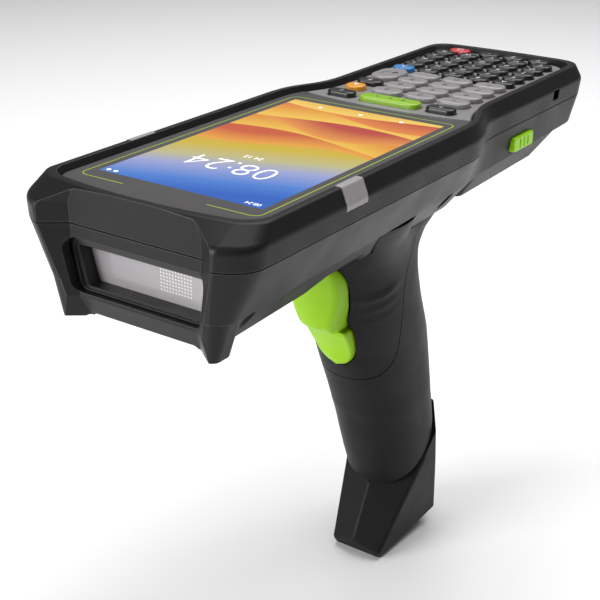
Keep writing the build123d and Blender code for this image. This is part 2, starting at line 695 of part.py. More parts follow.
def housing_screws():
    """Screws that clamp the two housings."""
    screws = []
    for x, y in screw_places():
        seat_z = edge_z(y) + SCREW_SEAT
        shank = pillar(x, y, SCREW_R - THREAD_GAP, seat_z, SEAM_Z + SCREW_BITE - 0.5)
        head = pillar(x, y, SCREW_HEAD_R, seat_z - SCREW_HEAD_H, seat_z)
        socket = Pos(x, y, seat_z - SCREW_HEAD_H) * extrude(RegularPolygon(1.0, 6), 0.9)
        screws.append(head + shank - socket)
    return screws


# ---------------------------------------------------------------- screen
def screen_outline(z0, z1, inset):
    """Plan of the cover glass between two heights."""
    face = pocket_plan(RIM_INSET + RIM_W + RIM_DRAFT + inset, RIM_W + inset)
    return Pos(0, 0, z0) * extrude(face, z1 - z0) - bow_region()


def display_glass():
    """Cover glass of the touch screen."""
    return screen_outline(-GLASS_T, 0, SEAT_GAP)


def screen_gasket():
    """Adhesive gasket between the glass and the web."""
    panel_x = PICTURE_W / 2 + PANEL_EDGE + RUN_GAP
    panel_y = PICTURE_L / 2 + PANEL_EDGE + RUN_GAP
    ring = screen_outline(LEDGE_Z, -GLASS_T, SEAT_GAP + GASKET_EDGE)
    return ring - box(-panel_x, panel_x, -panel_y, panel_y, LEDGE_Z - 1, 0)


def display_panel():
    """Display module bonded to the back of the glass."""
    x, y = PICTURE_W / 2 + PANEL_EDGE, PICTURE_L / 2 + PANEL_EDGE
    return box(-x, x, -y, y, PANEL_Z, -GLASS_T)


def mid_frame():
    """Metal frame that carries the display and the board."""
    x, y = PICTURE_W / 2 + PANEL_EDGE, PICTURE_L / 2 + PANEL_EDGE
    frame = box(-x, x, -y, y, PANEL_Z - CHASSIS_T, PANEL_Z)
    frame += both_sides(box(x - 2, x + CHASSIS_FLANGE, -y + 4, y - 6, PANEL_Z - CHASSIS_T, PANEL_Z))
    frame += both_sides(box(x + 2 * RUN_GAP, x + CHASSIS_FLANGE, -y + 4, y - 6, PANEL_Z, WEB_Z))
    frame -= both_sides(box(4, x - 6, -y + 8, -4, PANEL_Z - 2, PANEL_Z + 1))
    frame -= both_sides(box(4, x - 6, 4, y - 8, PANEL_Z - 2, PANEL_Z + 1))
    for sx in (-1, 1):
        for post_y in (-y + 4, 0, y - 4):
            frame += pillar(sx * (BOARD_HALF - 3), post_y, 1.6, BOARD_Z, PANEL_Z - CHASSIS_T)
    return frame


def main_board():
    """Main circuit board with its larger components."""
    board = box(-BOARD_HALF, BOARD_HALF, BOARD_Y0, BOARD_Y1, BOARD_Z - BOARD_T, BOARD_Z)
    for x, y, w, l in BOARD_CHIPS:
        board += box(x - w / 2, x + w / 2, y - l / 2, y + l / 2, BOARD_Z - BOARD_T - CHIP_T,
                     BOARD_Z - BOARD_T)
    return board


# ---------------------------------------------------------------- keypad
def keypad_plate():
    """Faceplate round the keys, its front edge bowed towards the glass."""
    draw = RIM_INSET + RIM_W + RIM_DRAFT + SEAT_GAP
    face = outline(HEAD_HALF - draw, TAIL_HALF - draw, NOSE_Y, TAIL_Y - draw)
    plate = Pos(0, 0, LEDGE_Z) * extrude(face, PLATE_T) & bow_region(PLATE_GAP)
    top = plate.faces().sort_by(Axis.Z)[-1]
    plate = chamfer(top.edges(), PLATE_EDGE)
    return plate - key_openings(KEY_GAP, LEDGE_Z - 1, RIM_Z)


def key_mat():
    """Rubber mat under the keys: skirt down to the board and a dome below each key."""
    x, foot = KEY_HOLE_HALF - 2 * RUN_GAP, BOARD_Z
    y0 = KEYS_Y - SCAN_KEY[1] / 2 - WELL_GAP + RUN_GAP
    y1 = BOARD_Y1 - RUN_GAP
    mat = box(-x, x, y0, y1, MAT_TOP_Z - MAT_T, MAT_TOP_Z)
    rim = box(-BOARD_HALF, BOARD_HALF, y0, y1, foot, MAT_TOP_Z - MAT_T)
    rim -= box(-BOARD_HALF + MAT_T, BOARD_HALF - MAT_T, y0 + MAT_T, y1 - MAT_T, foot, MAT_TOP_Z)
    mat += rim
    for keys in key_rows().values():
        for cx, cy, _, _ in keys:
            if cy < y1 - DOME_R:
                mat += pillar(cx, cy, DOME_R, foot + KEY_TRAVEL, MAT_TOP_Z - MAT_T)
    return mat


# ---------------------------------------------------------------- scan head
def window_bezel():
    """Stepped dark frame round the scan window, seated behind the nose wall."""
    y0, y1, y2 = PANE_Y - 2 * STEP_DEPTH, PANE_Y - STEP_DEPTH, PANE_Y
    frame = window_prism(SEAT_GAP, y0, y1) - window_prism(BEZEL_STEP, y0, y1)
    frame += window_prism(SEAT_GAP, y1, y2) - window_prism(2 * BEZEL_STEP, y1, y2)
    frame += window_prism(-BEZEL_FLANGE, BEZEL_SEAT_Y, y2) - window_prism(2 * BEZEL_STEP, y0, y2)
    back = window_prism(SEAT_GAP, y2, y2 + PANE_T + 1.2)
    back -= window_prism(BEZEL_STEP, y2, y2 + PANE_T + 1.2)
    return frame + back


def scan_window():
    """Clear pane behind the bezel's last step."""
    return window_prism(BEZEL_STEP + SEAT_GAP, PANE_Y, PANE_Y + PANE_T)


def scan_engine():
    """Imager module with lens barrel and aiming window."""
    w, l, h = ENGINE
    body = box(-w / 2, w / 2, ENGINE_Y, ENGINE_Y + l, ENGINE_Z - h / 2, ENGINE_Z + h / 2)
    barrel = Pos(-w / 6, ENGINE_Y, ENGINE_Z) * Rot(X=90) * Cylinder(LENS_R, 2.4)
    bore = Pos(-w / 6, ENGINE_Y - 1.2, ENGINE_Z) * Rot(X=90) * Cone(LENS_R - 0.6, LENS_R - 1.8, 1.6)
    slot = box(w / 6, w / 3, ENGINE_Y - 1, ENGINE_Y + 0.8, ENGINE_Z - 2, ENGINE_Z + 2)
    return body + barrel - bore - slot


# ---------------------------------------------------------------- battery
@cache
def battery_cover():
    """Chamfered outer shell of the removable battery."""
    half, y0, y1 = BATTERY_SHELL
    top = sloped(slab(half, y0, y1, BATTERY_R), EDGE_Z - RUN_GAP, EDGE_SLOPE)
    half, y0, y1 = BATTERY_BASE
    base = sloped(slab(half, y0, y1, BATTERY_R), BATTERY_BASE_Z, BATTERY_BASE_SLOPE)
    return loft([top, base], ruled=True)


def battery_pack():
    """Cell block that stands on the cover and fills the bay."""
    core = box(-BATTERY_HALF, BATTERY_HALF, BATTERY_Y0, BATTERY_Y1, edge_z(BATTERY_Y0) - 3,
               BATTERY_TOP_Z)
    seat_face = sloped(slab(HEAD_HALF, 0, TAIL_Y, BATTERY_R), EDGE_Z - RUN_GAP, EDGE_SLOPE)
    pack = fillet(core.edges().filter_by(Axis.Z), BATTERY_R / 2) - extrude(seat_face, -WALL - 3)
    for x in CONTACT_X:
        pack -= box(x - 1.2, x + 1.2, BATTERY_Y0 - 1, BATTERY_Y0 + 1.0, CONTACT_Z[0], BATTERY_TOP_Z + 1)
    return pack


def battery_contacts():
    """Spring contacts on the front wall of the bay."""
    blades = [box(x - 0.8, x + 0.8, BATTERY_Y0 - RUN_GAP, BATTERY_Y0 + 0.5, CONTACT_Z[0] + 0.6,
                  CONTACT_Z[1] - 0.6) for x in CONTACT_X]
    return blades


def battery_latch(side):
    """Lime sliding latch: ribbed cap and the flange that keeps it in the wall."""
    x0 = LATCH_FLANGE_X + LATCH_FLANGE
    cap = box(x0, LATCH_X, LATCH_Y - LATCH_L / 2, LATCH_Y + LATCH_L / 2,
              LATCH_Z - LATCH_H / 2, LATCH_Z + LATCH_H / 2)
    cap = fillet(cap.edges().filter_by(Axis.X), 0.9)
    cap = fillet(cap.faces().sort_by(Axis.X)[-1].edges(), 0.5)
    for step in (-1, 0, 1):
        y = LATCH_Y + step * LATCH_L / 5
        cap -= box(LATCH_X - LATCH_GROOVE, LATCH_X + 1, y - 0.45, y + 0.45,
                   LATCH_Z - LATCH_H / 2 + 0.8, LATCH_Z + LATCH_H / 2 - 0.8)
    ear = LATCH_L / 2 + LATCH_EAR
    flange = box(LATCH_FLANGE_X, x0, LATCH_Y - ear, LATCH_Y + ear,
                 LATCH_Z - LATCH_H / 2, LATCH_Z + LATCH_H / 2)
    latch = cap + flange
    return latch if side > 0 else mirror(latch, Plane.YZ)


# ---------------------------------------------------------------- grip
def grip_section(z, yc, a, b):
    """Superellipse across the grip at height z."""
    points = []
    for step in range(GRIP_POINTS):
        t = 2 * pi * (step + 0.5) / GRIP_POINTS
        x = copysign(abs(cos(t)) ** (2 / GRIP_POWER), cos(t)) * a
        y = copysign(abs(sin(t)) ** (2 / GRIP_POWER), sin(t)) * b
        points.append((x, yc + y))
    return Pos(0, 0, z) * make_face(Spline(points, periodic=True))


def blend(before, start, end, after, t):
    """Point at t on the smooth curve from start to end."""
    rise, fall = (end - before) / 2, (after - start) / 2
    bend = 3 * (end - start) - 2 * rise - fall
    return start + rise * t + bend * t ** 2 + (rise + fall - 2 * (end - start)) * t ** 3


def grip_stations():
    """The driving sections with more blended in between each pair."""
    rows = [GRIP_STATIONS[0], *GRIP_STATIONS, GRIP_STATIONS[-1]]
    stations = []
    for index in range(len(GRIP_STATIONS) - 1):
        for step in range(GRIP_BLEND):
            stations.append([blend(*values, step / GRIP_BLEND) for values in zip(*rows[index:index + 4])])
    return [*stations, GRIP_STATIONS[-1]]


@cache
def grip_solid(inset=0.0):
    """The whole handle from inside the case to inside the boot."""
    sections = [grip_section(z, yc, a - inset, b - inset) for z, yc, a, b in grip_stations()]
    return loft(sections, ruled=True)


def collar_space(offset, side):
    """Half space above (1) or below (-1) the boot's slanted collar, offset along its normal."""
    reach = 120
    lift = offset + side * reach / 2
    return Pos(0, BOOT_FRONT_Y, BOOT_FRONT_Z) * Rot(X=BOOT_SLANT) * Pos(0, 0, lift) * Box(
        reach, 2 * reach, reach)


@cache
def grip_hull():
    """Hollow handle wall, trimmed to the underside of the case and to the collar."""
    reach = box(-HEAD_HALF, HEAD_HALF, SADDLE_Y0, SADDLE_Y1, LEG_Z, SADDLE_Z)
    saddle = case_block(GRIP_SEAT + SADDLE_T) & reach
    hull = grip_solid() + saddle - case_block(GRIP_SEAT) - grip_solid(GRIP_WALL)
    hull -= box(-HEAD_HALF, HEAD_HALF, GRIP_REAR_Y, TAIL_Y, GRIP_NECK_Z, 0)
    return hull & collar_space(BOOT_GAP, 1)


def cover_region(gap=0.0):
    """Side profile of the front cover, run across the grip."""
    top, seam, bottom = COVER_TOP_Y + gap, COVER_SEAM_Y + gap, COVER_BOTTOM_Z - gap
    radius = COVER_R
    turn = bottom + radius
    mid = radius * (1 - 1 / 2 ** 0.5)
    edges = [
        Line((-NECK_REACH, EDGE_Z), (top, EDGE_Z)),
        Line((top, EDGE_Z), (seam, COVER_BEND_Z)),
        Line((seam, COVER_BEND_Z), (seam, turn)),
        ThreePointArc((seam, turn), (seam - mid, bottom + mid), (seam - radius, bottom)),
        Line((seam - radius, bottom), (-NECK_REACH, bottom)),
        Line((-NECK_REACH, bottom), (-NECK_REACH, EDGE_Z)),
    ]
    face = Plane.YZ * make_face(edges)
    return Pos(-HEAD_HALF, 0, 0) * extrude(face, 2 * HEAD_HALF)


def trigger_outline(gap=0.0):
    """Front view of the trigger, in the XZ plane."""
    right = [(half, z) for z, half, _, _ in (*LOBE_LEVELS, *TONGUE_LEVELS[1:])]
    face = make_face(Polyline(*right, *[(-x, z) for x, z in reversed(right)], close=True))
    return offset(face, gap, kind=Kind.ARC) if gap else face


def trigger_opening():
    """Slot in the front cover that follows the trigger's outline."""
    reach = COVER_SEAM_Y - 2
    return Pos(0, reach, 0) * extrude(Plane.XZ * trigger_outline(TRIGGER_GAP), reach + NECK_REACH)


def grip_front_cover():
    """Front cover of the grip with the trigger slot and the pin bosses."""
    cover = grip_hull() & cover_region()
    cover -= trigger_opening()
    boss = crossbar(PIVOT_Y, PIVOT_Z, HUB_R + 0.6, HUB_HALF + TRIGGER_GAP, HUB_HALF + 6)
    cover += both_sides(boss) & grip_solid(1.0)
    return cover - crossbar(PIVOT_Y, PIVOT_Z, PIN_R + PIN_FIT, -PIN_HALF - 0.2, PIN_HALF + 0.2)


def grip_shell():
    """Rear shell of the grip."""
    return grip_hull() - cover_region(COVER_GAP)


def trigger_section(z, half, front, back, bevel):
    """Section of the trigger at height z: crowned front with rolled edges, flat back."""
    rim = front + CROWN + bevel
    right = [(half / 2, front + CROWN / 4), (half - bevel, front + CROWN),
             (half - 0.3 * bevel, front + CROWN + 0.3 * bevel), (half, rim), (half, back)]
    face = make_face(Polyline(*right, *[(-x, y) for x, y in reversed(right)], close=True))
    return Pos(0, 0, z) * face


def trigger():
    """Lime trigger: a proud lobe above, a recessed tongue below, hub round the pin."""
    lobe = loft([trigger_section(*level, LOBE_BEVEL) for level in LOBE_LEVELS], ruled=True)
    tongue = loft([trigger_section(*level, TONGUE_BEVEL) for level in TONGUE_LEVELS], ruled=True)
    hub = crossbar(PIVOT_Y, PIVOT_Z, HUB_R, -HUB_HALF, HUB_HALF)
    arm = box(-ARM_HALF, ARM_HALF, PIVOT_Y - ARM_REACH, PIVOT_Y, PIVOT_Z - 9, PIVOT_Z + 2)
    body = lobe + tongue + hub + arm
    body -= box(-SPRING_HALF, SPRING_HALF, PIVOT_Y - HUB_R - 1, PIVOT_Y + HUB_R + 1,
                PIVOT_Z - HUB_R - 1, PIVOT_Z + HUB_R + 1)
    return body - crossbar(PIVOT_Y, PIVOT_Z, PIN_R + PIN_FIT, -HEAD_HALF, HEAD_HALF)


def trigger_pin():
    """Steel pin through the trigger and both bosses of the cover."""
    return crossbar(PIVOT_Y, PIVOT_Z, PIN_R, -PIN_HALF, PIN_HALF)


def trigger_spring():
    """Torsion coil round the pin."""
    length = 2 * SPRING_HALF - 1.4
    coil = Helix(pitch=SPRING_WIRE * 2.4, height=length, radius=PIN_R + PIN_FIT + SPRING_WIRE)
    wire = sweep(Plane(coil @ 0, z_dir=coil % 0) * Circle(SPRING_WIRE / 2), coil, is_frenet=True)
    return Pos(-length / 2, PIVOT_Y, PIVOT_Z) * Rot(Y=90) * wire


@cache
def grip_core():
    """Metal spine inside the grip with the flange that bolts to the case."""
    spine = Plane.YZ * make_face(Polyline(*CORE_PROFILE, close=True))
    core = Pos(-CORE_HALF, 0, 0) * extrude(spine, 2 * CORE_HALF)
    flange = box(-FLANGE_HALF, FLANGE_HALF, FLANGE_Y0, FLANGE_Y1, FLANGE_FACE_Z, EDGE_Z)
    core += flange
    core -= case_block(GRIP_SEAT)
    core &= grip_solid(GRIP_WALL + SEAT_GAP)
    core -= box(-6, 6, CABLE_Y - 5, CABLE_Y + 5, BELLY_Z - 8, EDGE_Z)
    for x, y in grip_screw_places():
        core -= pillar(x, y, SCREW_R + SEAT_GAP, LEG_Z - 6, EDGE_Z)
    return core


def grip_screw_places():
    return [(sx * GRIP_SCREW_X, y) for sx in (-1, 1) for y in GRIP_SCREW_Y]


def grip_screws():
    """Screws from the grip's flange into the case."""
    screws = []
    for x, y in grip_screw_places():
        shank = pillar(x, y, SCREW_R - THREAD_GAP, FLANGE_FACE_Z, belly_z(y) + WALL + GRIP_BOSS - 1.5)
        screws.append(pillar(x, y, SCREW_HEAD_R, FLANGE_FACE_Z - SCREW_HEAD_H, FLANGE_FACE_Z) + shank)
    return screws


def trigger_switch():
    """Microswitch on the spine behind the trigger's tongue."""
    w, l, h = SWITCH
    face_y = PLUNGER_Y + PLUNGER_L
    body = box(-w / 2, w / 2, face_y, face_y + l, SWITCH_Z - h / 2, SWITCH_Z + h / 2)
    plunger = Pos(0, PLUNGER_Y + PLUNGER_L / 2, SWITCH_Z) * Rot(X=90) * Cylinder(PLUNGER_R, PLUNGER_L)
    return body + plunger - grip_core()


def behind(point, normal):
    """Everything behind a plane."""
    reach = 2 * (TAIL_Y - SOLE_Z)
    return Plane(point, z_dir=normal) * Pos(0, 0, -reach / 2) * Box(reach, reach, reach)


def grip_boot():
    """Rubber boot: faceted foot with a ridge in front, a slanted collar and a plug in the grip."""
    foot = box(-BOOT_HALF, BOOT_HALF, *BOOT_Y, BOOT_BASE_Z, GRIP_NECK_Z)
    for (x, y, z), (i, j, k) in BOOT_FACES:
        for side in (-1, 1):
            foot &= behind((side * x, y, z), (side * i, j, k))
    foot &= behind((0, SOLE_Y, SOLE_Z), (0, sin(radians(SOLE_TILT)), -cos(radians(SOLE_TILT))))
    foot = fillet(foot.edges(), BOOT_R) & collar_space(0, -1)
    plug = grip_solid(GRIP_WALL + SEAT_GAP) & collar_space(PLUG_RISE, -1)
    plug &= box(-HEAD_HALF, HEAD_HALF, 0, TAIL_Y, BOOT_FRONT_Z - 8, 0)
    return foot + plug


# ---------------------------------------------------------------- output
def pieces():
    """Every piece by its name."""
    made = {
        "upper_housing": upper_housing(),
        "lower_housing": lower_housing(),
        "housing_screws": housing_screws(),
        "light_pipe_left": light_pipe(1),
        "light_pipe_right": light_pipe(-1),
        "display_glass": display_glass(),
        "screen_gasket": screen_gasket(),
        "display_panel": display_panel(),
        "mid_frame": mid_frame(),
        "main_board": main_board(),
        "keypad_plate": keypad_plate(),
        "key_mat": key_mat(),
        "window_bezel": window_bezel(),
        "scan_window": scan_window(),
        "scan_engine": scan_engine(),
        "battery_pack": battery_pack(),
        "battery_cover": battery_cover(),
        "battery_contacts": battery_contacts(),
        "battery_latch_left": battery_latch(1),
        "battery_latch_right": battery_latch(-1),
        "grip_shell": grip_shell(),
        "grip_front_cover": grip_front_cover(),
        "grip_core": grip_core(),
        "grip_screws": grip_screws(),
        "grip_boot": grip_boot(),
        "trigger": trigger(),
        "trigger_pin": trigger_pin(),
        "trigger_spring": trigger_spring(),
        "trigger_switch": trigger_switch(),
    }
    for name, keys in key_rows().items():
        made[name] = [key(*place) for place in keys]
    return made


def main():
    os.makedirs("parts", exist_ok=True)
    for name, shape in pieces().items():
        solids = shape if isinstance(shape, list) else [shape]
        save(name, Compound(children=solids) if len(solids) > 1 else solids[0])


main()
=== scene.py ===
"""Dressing for a pistol-grip barcode terminal.

It gives every piece its finish, makes the smooth grip and trigger, the lit screen, the key marks and
the aiming grid, and sets up the studio.

Lengths are written in millimetres in the head datum (origin at the middle of the picture on the
cover glass, -Y out of the scan window, +Z out of the screen) and place() turns them into the frame.
"""

import math

import bmesh
import bpy
from mathutils import Matrix, Vector


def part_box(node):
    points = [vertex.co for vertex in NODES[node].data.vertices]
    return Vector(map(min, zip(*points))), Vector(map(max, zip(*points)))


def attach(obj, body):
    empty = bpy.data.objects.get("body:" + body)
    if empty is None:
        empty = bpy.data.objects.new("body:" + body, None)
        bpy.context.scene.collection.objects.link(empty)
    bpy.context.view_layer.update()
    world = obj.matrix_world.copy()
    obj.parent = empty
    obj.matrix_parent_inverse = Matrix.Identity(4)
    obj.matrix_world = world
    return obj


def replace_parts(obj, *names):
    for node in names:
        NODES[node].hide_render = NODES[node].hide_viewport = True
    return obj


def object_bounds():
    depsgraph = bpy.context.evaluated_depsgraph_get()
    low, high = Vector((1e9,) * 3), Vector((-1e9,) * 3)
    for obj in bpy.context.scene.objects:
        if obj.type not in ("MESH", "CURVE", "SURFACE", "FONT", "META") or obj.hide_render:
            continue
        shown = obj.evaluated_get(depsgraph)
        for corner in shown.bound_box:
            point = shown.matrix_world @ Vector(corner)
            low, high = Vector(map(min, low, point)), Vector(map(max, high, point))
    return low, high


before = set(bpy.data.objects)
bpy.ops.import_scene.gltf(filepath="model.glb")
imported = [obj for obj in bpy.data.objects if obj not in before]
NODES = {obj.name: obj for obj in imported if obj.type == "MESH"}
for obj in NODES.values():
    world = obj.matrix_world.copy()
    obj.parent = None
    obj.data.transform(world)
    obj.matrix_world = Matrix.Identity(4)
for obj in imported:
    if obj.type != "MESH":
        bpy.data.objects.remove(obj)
CAD_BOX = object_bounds()

MM = 0.001
SOLE = Vector((0.0, 62.0, -154.0))


def place(x, y, z):
    """Head datum in millimetres to the frame in metres."""
    return (Vector((x, y, z)) - SOLE) * MM


# ---------------------------------------------------------------- finishes
def tone(code):
    """sRGB hex code to the linear colour that a shader takes."""
    parts = [int(code[i:i + 2], 16) / 255 for i in (1, 3, 5)]
    return (*[p / 12.92 if p <= 0.04045 else ((p + 0.055) / 1.055) ** 2.4 for p in parts], 1.0)


def add(tree, kind, sockets=None, **settings):
    """Add one node with its settings; a socket takes a value or the output of another node."""
    node = tree.nodes.new(kind)
    for key, value in settings.items():
        setattr(node, key, value)
    for key, value in (sockets or {}).items():
        if isinstance(value, bpy.types.NodeSocket):
            tree.links.new(value, node.inputs[key])
        else:
            node.inputs[key].default_value = value
    return node


def finish_start(name):
    """Empty material with its output, its shader and surface coordinates in millimetres."""
    material = bpy.data.materials.new(name)
    material.use_nodes = True
    tree = material.node_tree
    tree.nodes.clear()
    shader = add(tree, "ShaderNodeBsdfPrincipled")
    add(tree, "ShaderNodeOutputMaterial", {"Surface": shader.outputs["BSDF"]})
    spot = add(tree, "ShaderNodeTexCoord")
    mm = add(tree, "ShaderNodeVectorMath", {0: spot.outputs["Object"], "Scale": 1 / MM},
             operation="SCALE")
    return material, tree, shader, mm.outputs["Vector"]


PLASTIC_IOR = 1.5
CLOUD_SCALE = 0.09      # patches about 11 mm across, as handling leaves them
SMUDGE_SCALE = 0.12     # finger marks on glass, about 8 mm across
PATCH_SCALE = 0.3       # patches about 3 mm across, as plating and wiping leave them
COVER_SCALE = 2.5       # thin spots of 0.4 mm, as the mesh of a printing screen leaves them
TRACK_SCALE = 0.5       # copper tracks about 1 mm apart


def moulded(name, colour, roughness, grain=0.4, depth=0.02, drift=0.06, edge=0.0,
            wear_and_highlight_code="#8a8a8c", radius=0.25, coat=0.0, specular=0.5):
    """Plastic or rubber from a textured tool: fine grain, drifting tone and gloss, and paler edges, partly
    wear and partly a painted highlight.

    grain is the pitch of the texture in mm. The real one is near 0.1 mm and would not show, so it is
    drawn three to six times as coarse. depth is its height in mm, drift the share by which the tone
    wanders, edge how strongly the edges are painted paler, partly as wear and partly as a painted
    highlight, and radius the width of that paler edge in mm. specular below 0.5 stands for the light
    that a deep texture swallows.
    """
    material, tree, shader, mm = finish_start(name)
    base, wear_and_highlight_colour = tone(colour), tone(wear_and_highlight_code)
    cloud = add(tree, "ShaderNodeTexNoise", {"Vector": mm, "Scale": CLOUD_SCALE, "Detail": 3.0})
    speck = add(tree, "ShaderNodeTexNoise", {"Vector": mm, "Scale": 1.0 / grain, "Detail": 2.0,
                                             "Roughness": 0.6})
    dark = [v * (1 - drift) for v in base[:3]] + [1.0]
    light = [v * (1 + drift) for v in base[:3]] + [1.0]
    mixed = add(tree, "ShaderNodeMix", {0: cloud.outputs["Fac"], 6: dark, 7: light},
                data_type="RGBA")
    round_edge = add(tree, "ShaderNodeBevel", {"Radius": radius * MM}, samples=4)
    here = add(tree, "ShaderNodeNewGeometry")
    facing = add(tree, "ShaderNodeVectorMath",
                 {0: round_edge.outputs["Normal"], 1: here.outputs["Normal"]}, operation="DOT_PRODUCT")
    # Edges found by the bevel are painted paler: partly wear, partly a painted highlight.
    wear_and_highlight_mask = add(tree, "ShaderNodeMapRange", {"Value": facing.outputs["Value"], "From Min": 0.995,
                                             "From Max": 0.9, "To Max": edge})
    wear_and_highlight_mix = add(tree, "ShaderNodeMix", {0: wear_and_highlight_mask.outputs["Result"], 6: mixed.outputs[2], 7: wear_and_highlight_colour},
                   data_type="RGBA")
    tree.links.new(wear_and_highlight_mix.outputs[2], shader.inputs["Base Color"])
    rubbed = add(tree, "ShaderNodeMapRange", {"Value": cloud.outputs["Fac"], "From Min": 0.3,
                                              "From Max": 0.7, "To Min": roughness - 0.04,
                                              "To Max": roughness + 0.05})
    tree.links.new(rubbed.outputs["Result"], shader.inputs["Roughness"])
    bump = add(tree, "ShaderNodeBump", {"Height": speck.outputs["Fac"], "Distance": depth * MM,
                                        "Strength": 1.0, "Normal": round_edge.outputs["Normal"]})
    tree.links.new(bump.outputs["Normal"], shader.inputs["Normal"])
    shader.inputs["IOR"].default_value = PLASTIC_IOR
    shader.inputs["Specular IOR Level"].default_value = specular
    shader.inputs["Coat Weight"].default_value = coat
    shader.inputs["Coat Roughness"].default_value = 0.2
    return material


def blasted_metal(name, colour, roughness, grain=0.3, depth=0.01):
    """Cast, plated or blasted metal: full metallic with a fine grain and patches of duller plating."""
    material, tree, shader, mm = finish_start(name)
    base = tone(colour)
    patch = add(tree, "ShaderNodeTexNoise", {"Vector": mm, "Scale": PATCH_SCALE, "Detail": 4.0})
    grit = add(tree, "ShaderNodeTexNoise", {"Vector": mm, "Scale": 1.0 / grain, "Detail": 2.0})
    dull = [v * 0.8 for v in base[:3]] + [1.0]
    mixed = add(tree, "ShaderNodeMix", {0: patch.outputs["Fac"], 6: dull, 7: base}, data_type="RGBA")
    tree.links.new(mixed.outputs[2], shader.inputs["Base Color"])
    gloss = add(tree, "ShaderNodeMapRange", {"Value": patch.outputs["Fac"], "To Min": roughness - 0.06,
                                             "To Max": roughness + 0.1})
    tree.links.new(gloss.outputs["Result"], shader.inputs["Roughness"])
    bump = add(tree, "ShaderNodeBump", {"Height": grit.outputs["Fac"], "Distance": depth * MM})
    tree.links.new(bump.outputs["Normal"], shader.inputs["Normal"])
    shader.inputs["Metallic"].default_value = 1.0
    return material


PICTURE_HALF = (26.15, 43.55)
BACKLIGHT = 0.62
SKY_LEAN = -0.10
SKY = (     # place along the picture and colour
    (0.0, "#2f62bd"), (0.10, "#4d7fd0"), (0.24, "#9aa3d2"), (0.34, "#bdb98a"), (0.46, "#cdb33f"),
    (0.62, "#dca03c"), (1.0, "#d98b3a"),
)
DUNES = (   # start along the picture, swing, waves across, phase, edge colour, body colour
    (0.50, 0.060, 2.2, 0.3, "#e9a544", "#c95c3a"),
    (0.60, 0.050, 1.7, 2.1, "#ecc04e", "#dd8f38"),
    (0.70, 0.055, 2.6, 4.0, "#e79a4a", "#b8493e"),
    (0.79, 0.035, 1.9, 1.0, "#f0c757", "#e0963a"),
    (0.88, 0.040, 2.4, 3.1, "#e58a45", "#bd4f3c"),
    (0.95, 0.030, 2.0, 5.2, "#f2cf66", "#e3a240"),
)


def cover_glass():
    """Toughened glass, polished, with a grey printed border; the lit picture lies right under it."""
    material, tree, shader, mm = finish_start("toughened_cover_glass")
    axes = add(tree, "ShaderNodeSeparateXYZ", {"Vector": mm})
    across = add(tree, "ShaderNodeMath", {0: axes.outputs["X"], 1: 1 / PICTURE_HALF[0]},
                 operation="MULTIPLY")
    along = add(tree, "ShaderNodeMapRange", {"Value": axes.outputs["Y"],
                                             "From Min": -SOLE.y - PICTURE_HALF[1],
                                             "From Max": -SOLE.y + PICTURE_HALF[1]}, clamp=False)
    u, v = across.outputs[0], along.outputs["Result"]
    lean = add(tree, "ShaderNodeMath", {0: u, 1: SKY_LEAN, 2: v}, operation="MULTIPLY_ADD")
    sky = add(tree, "ShaderNodeValToRGB", {"Fac": lean.outputs[0]})
    ramp = sky.color_ramp
    for at, code in SKY[1:-1]:
        ramp.elements.new(at)
    for element, (at, code) in zip(ramp.elements, SKY):
        element.position, element.color = at, tone(code)
    picture = sky.outputs["Color"]
    for start, swing, count, phase, rim_colour, body_colour in DUNES:
        angle = add(tree, "ShaderNodeMath", {0: u, 1: count, 2: phase}, operation="MULTIPLY_ADD")
        wave = add(tree, "ShaderNodeMath", {0: angle.outputs[0]}, operation="SINE")
        level = add(tree, "ShaderNodeMath", {0: wave.outputs[0], 1: swing, 2: start},
                    operation="MULTIPLY_ADD")
        rise = add(tree, "ShaderNodeMath", {0: v, 1: level.outputs[0]}, operation="SUBTRACT")
        shade = add(tree, "ShaderNodeMapRange", {"Value": rise.outputs[0], "From Max": 0.13})
        cut = add(tree, "ShaderNodeMapRange", {"Value": rise.outputs[0], "From Max": 0.006})
        band = add(tree, "ShaderNodeMix", {0: shade.outputs["Result"], 6: tone(rim_colour),
                                           7: tone(body_colour)}, data_type="RGBA")
        joined = add(tree, "ShaderNodeMix", {0: cut.outputs["Result"], 6: picture, 7: band.outputs[2]},
                     data_type="RGBA")
        picture = joined.outputs[2]
    middling = add(tree, "ShaderNodeMath", {0: u, 1: 0.0, 2: 1.0}, operation="COMPARE")
    centred = add(tree, "ShaderNodeMath", {0: v, 1: 0.5, 2: 0.5}, operation="COMPARE")
    lit = add(tree, "ShaderNodeMath", {0: middling.outputs[0], 1: centred.outputs[0]},
              operation="MULTIPLY")
    smudge = add(tree, "ShaderNodeTexNoise", {"Vector": mm, "Scale": SMUDGE_SCALE, "Detail": 5.0})
    border = add(tree, "ShaderNodeMix", {0: smudge.outputs["Fac"], 6: tone("#4a4849"),
                                         7: tone("#565455")}, data_type="RGBA")
    dimmed = add(tree, "ShaderNodeMix", {0: 0.65, 6: picture, 7: tone("#000000")}, data_type="RGBA")
    skin = add(tree, "ShaderNodeMix", {0: lit.outputs[0], 6: border.outputs[2], 7: dimmed.outputs[2]},
               data_type="RGBA")
    tree.links.new(skin.outputs[2], shader.inputs["Base Color"])
    tree.links.new(picture, shader.inputs["Emission Color"])
    glow = add(tree, "ShaderNodeMath", {0: lit.outputs[0], 1: BACKLIGHT}, operation="MULTIPLY")
    tree.links.new(glow.outputs[0], shader.inputs["Emission Strength"])
    haze = add(tree, "ShaderNodeMapRange", {"Value": smudge.outputs["Fac"], "To Min": 0.07,
                                            "To Max": 0.16})
    tree.links.new(haze.outputs["Result"], shader.inputs["Roughness"])
    shader.inputs["IOR"].default_value = 1.5
    return material


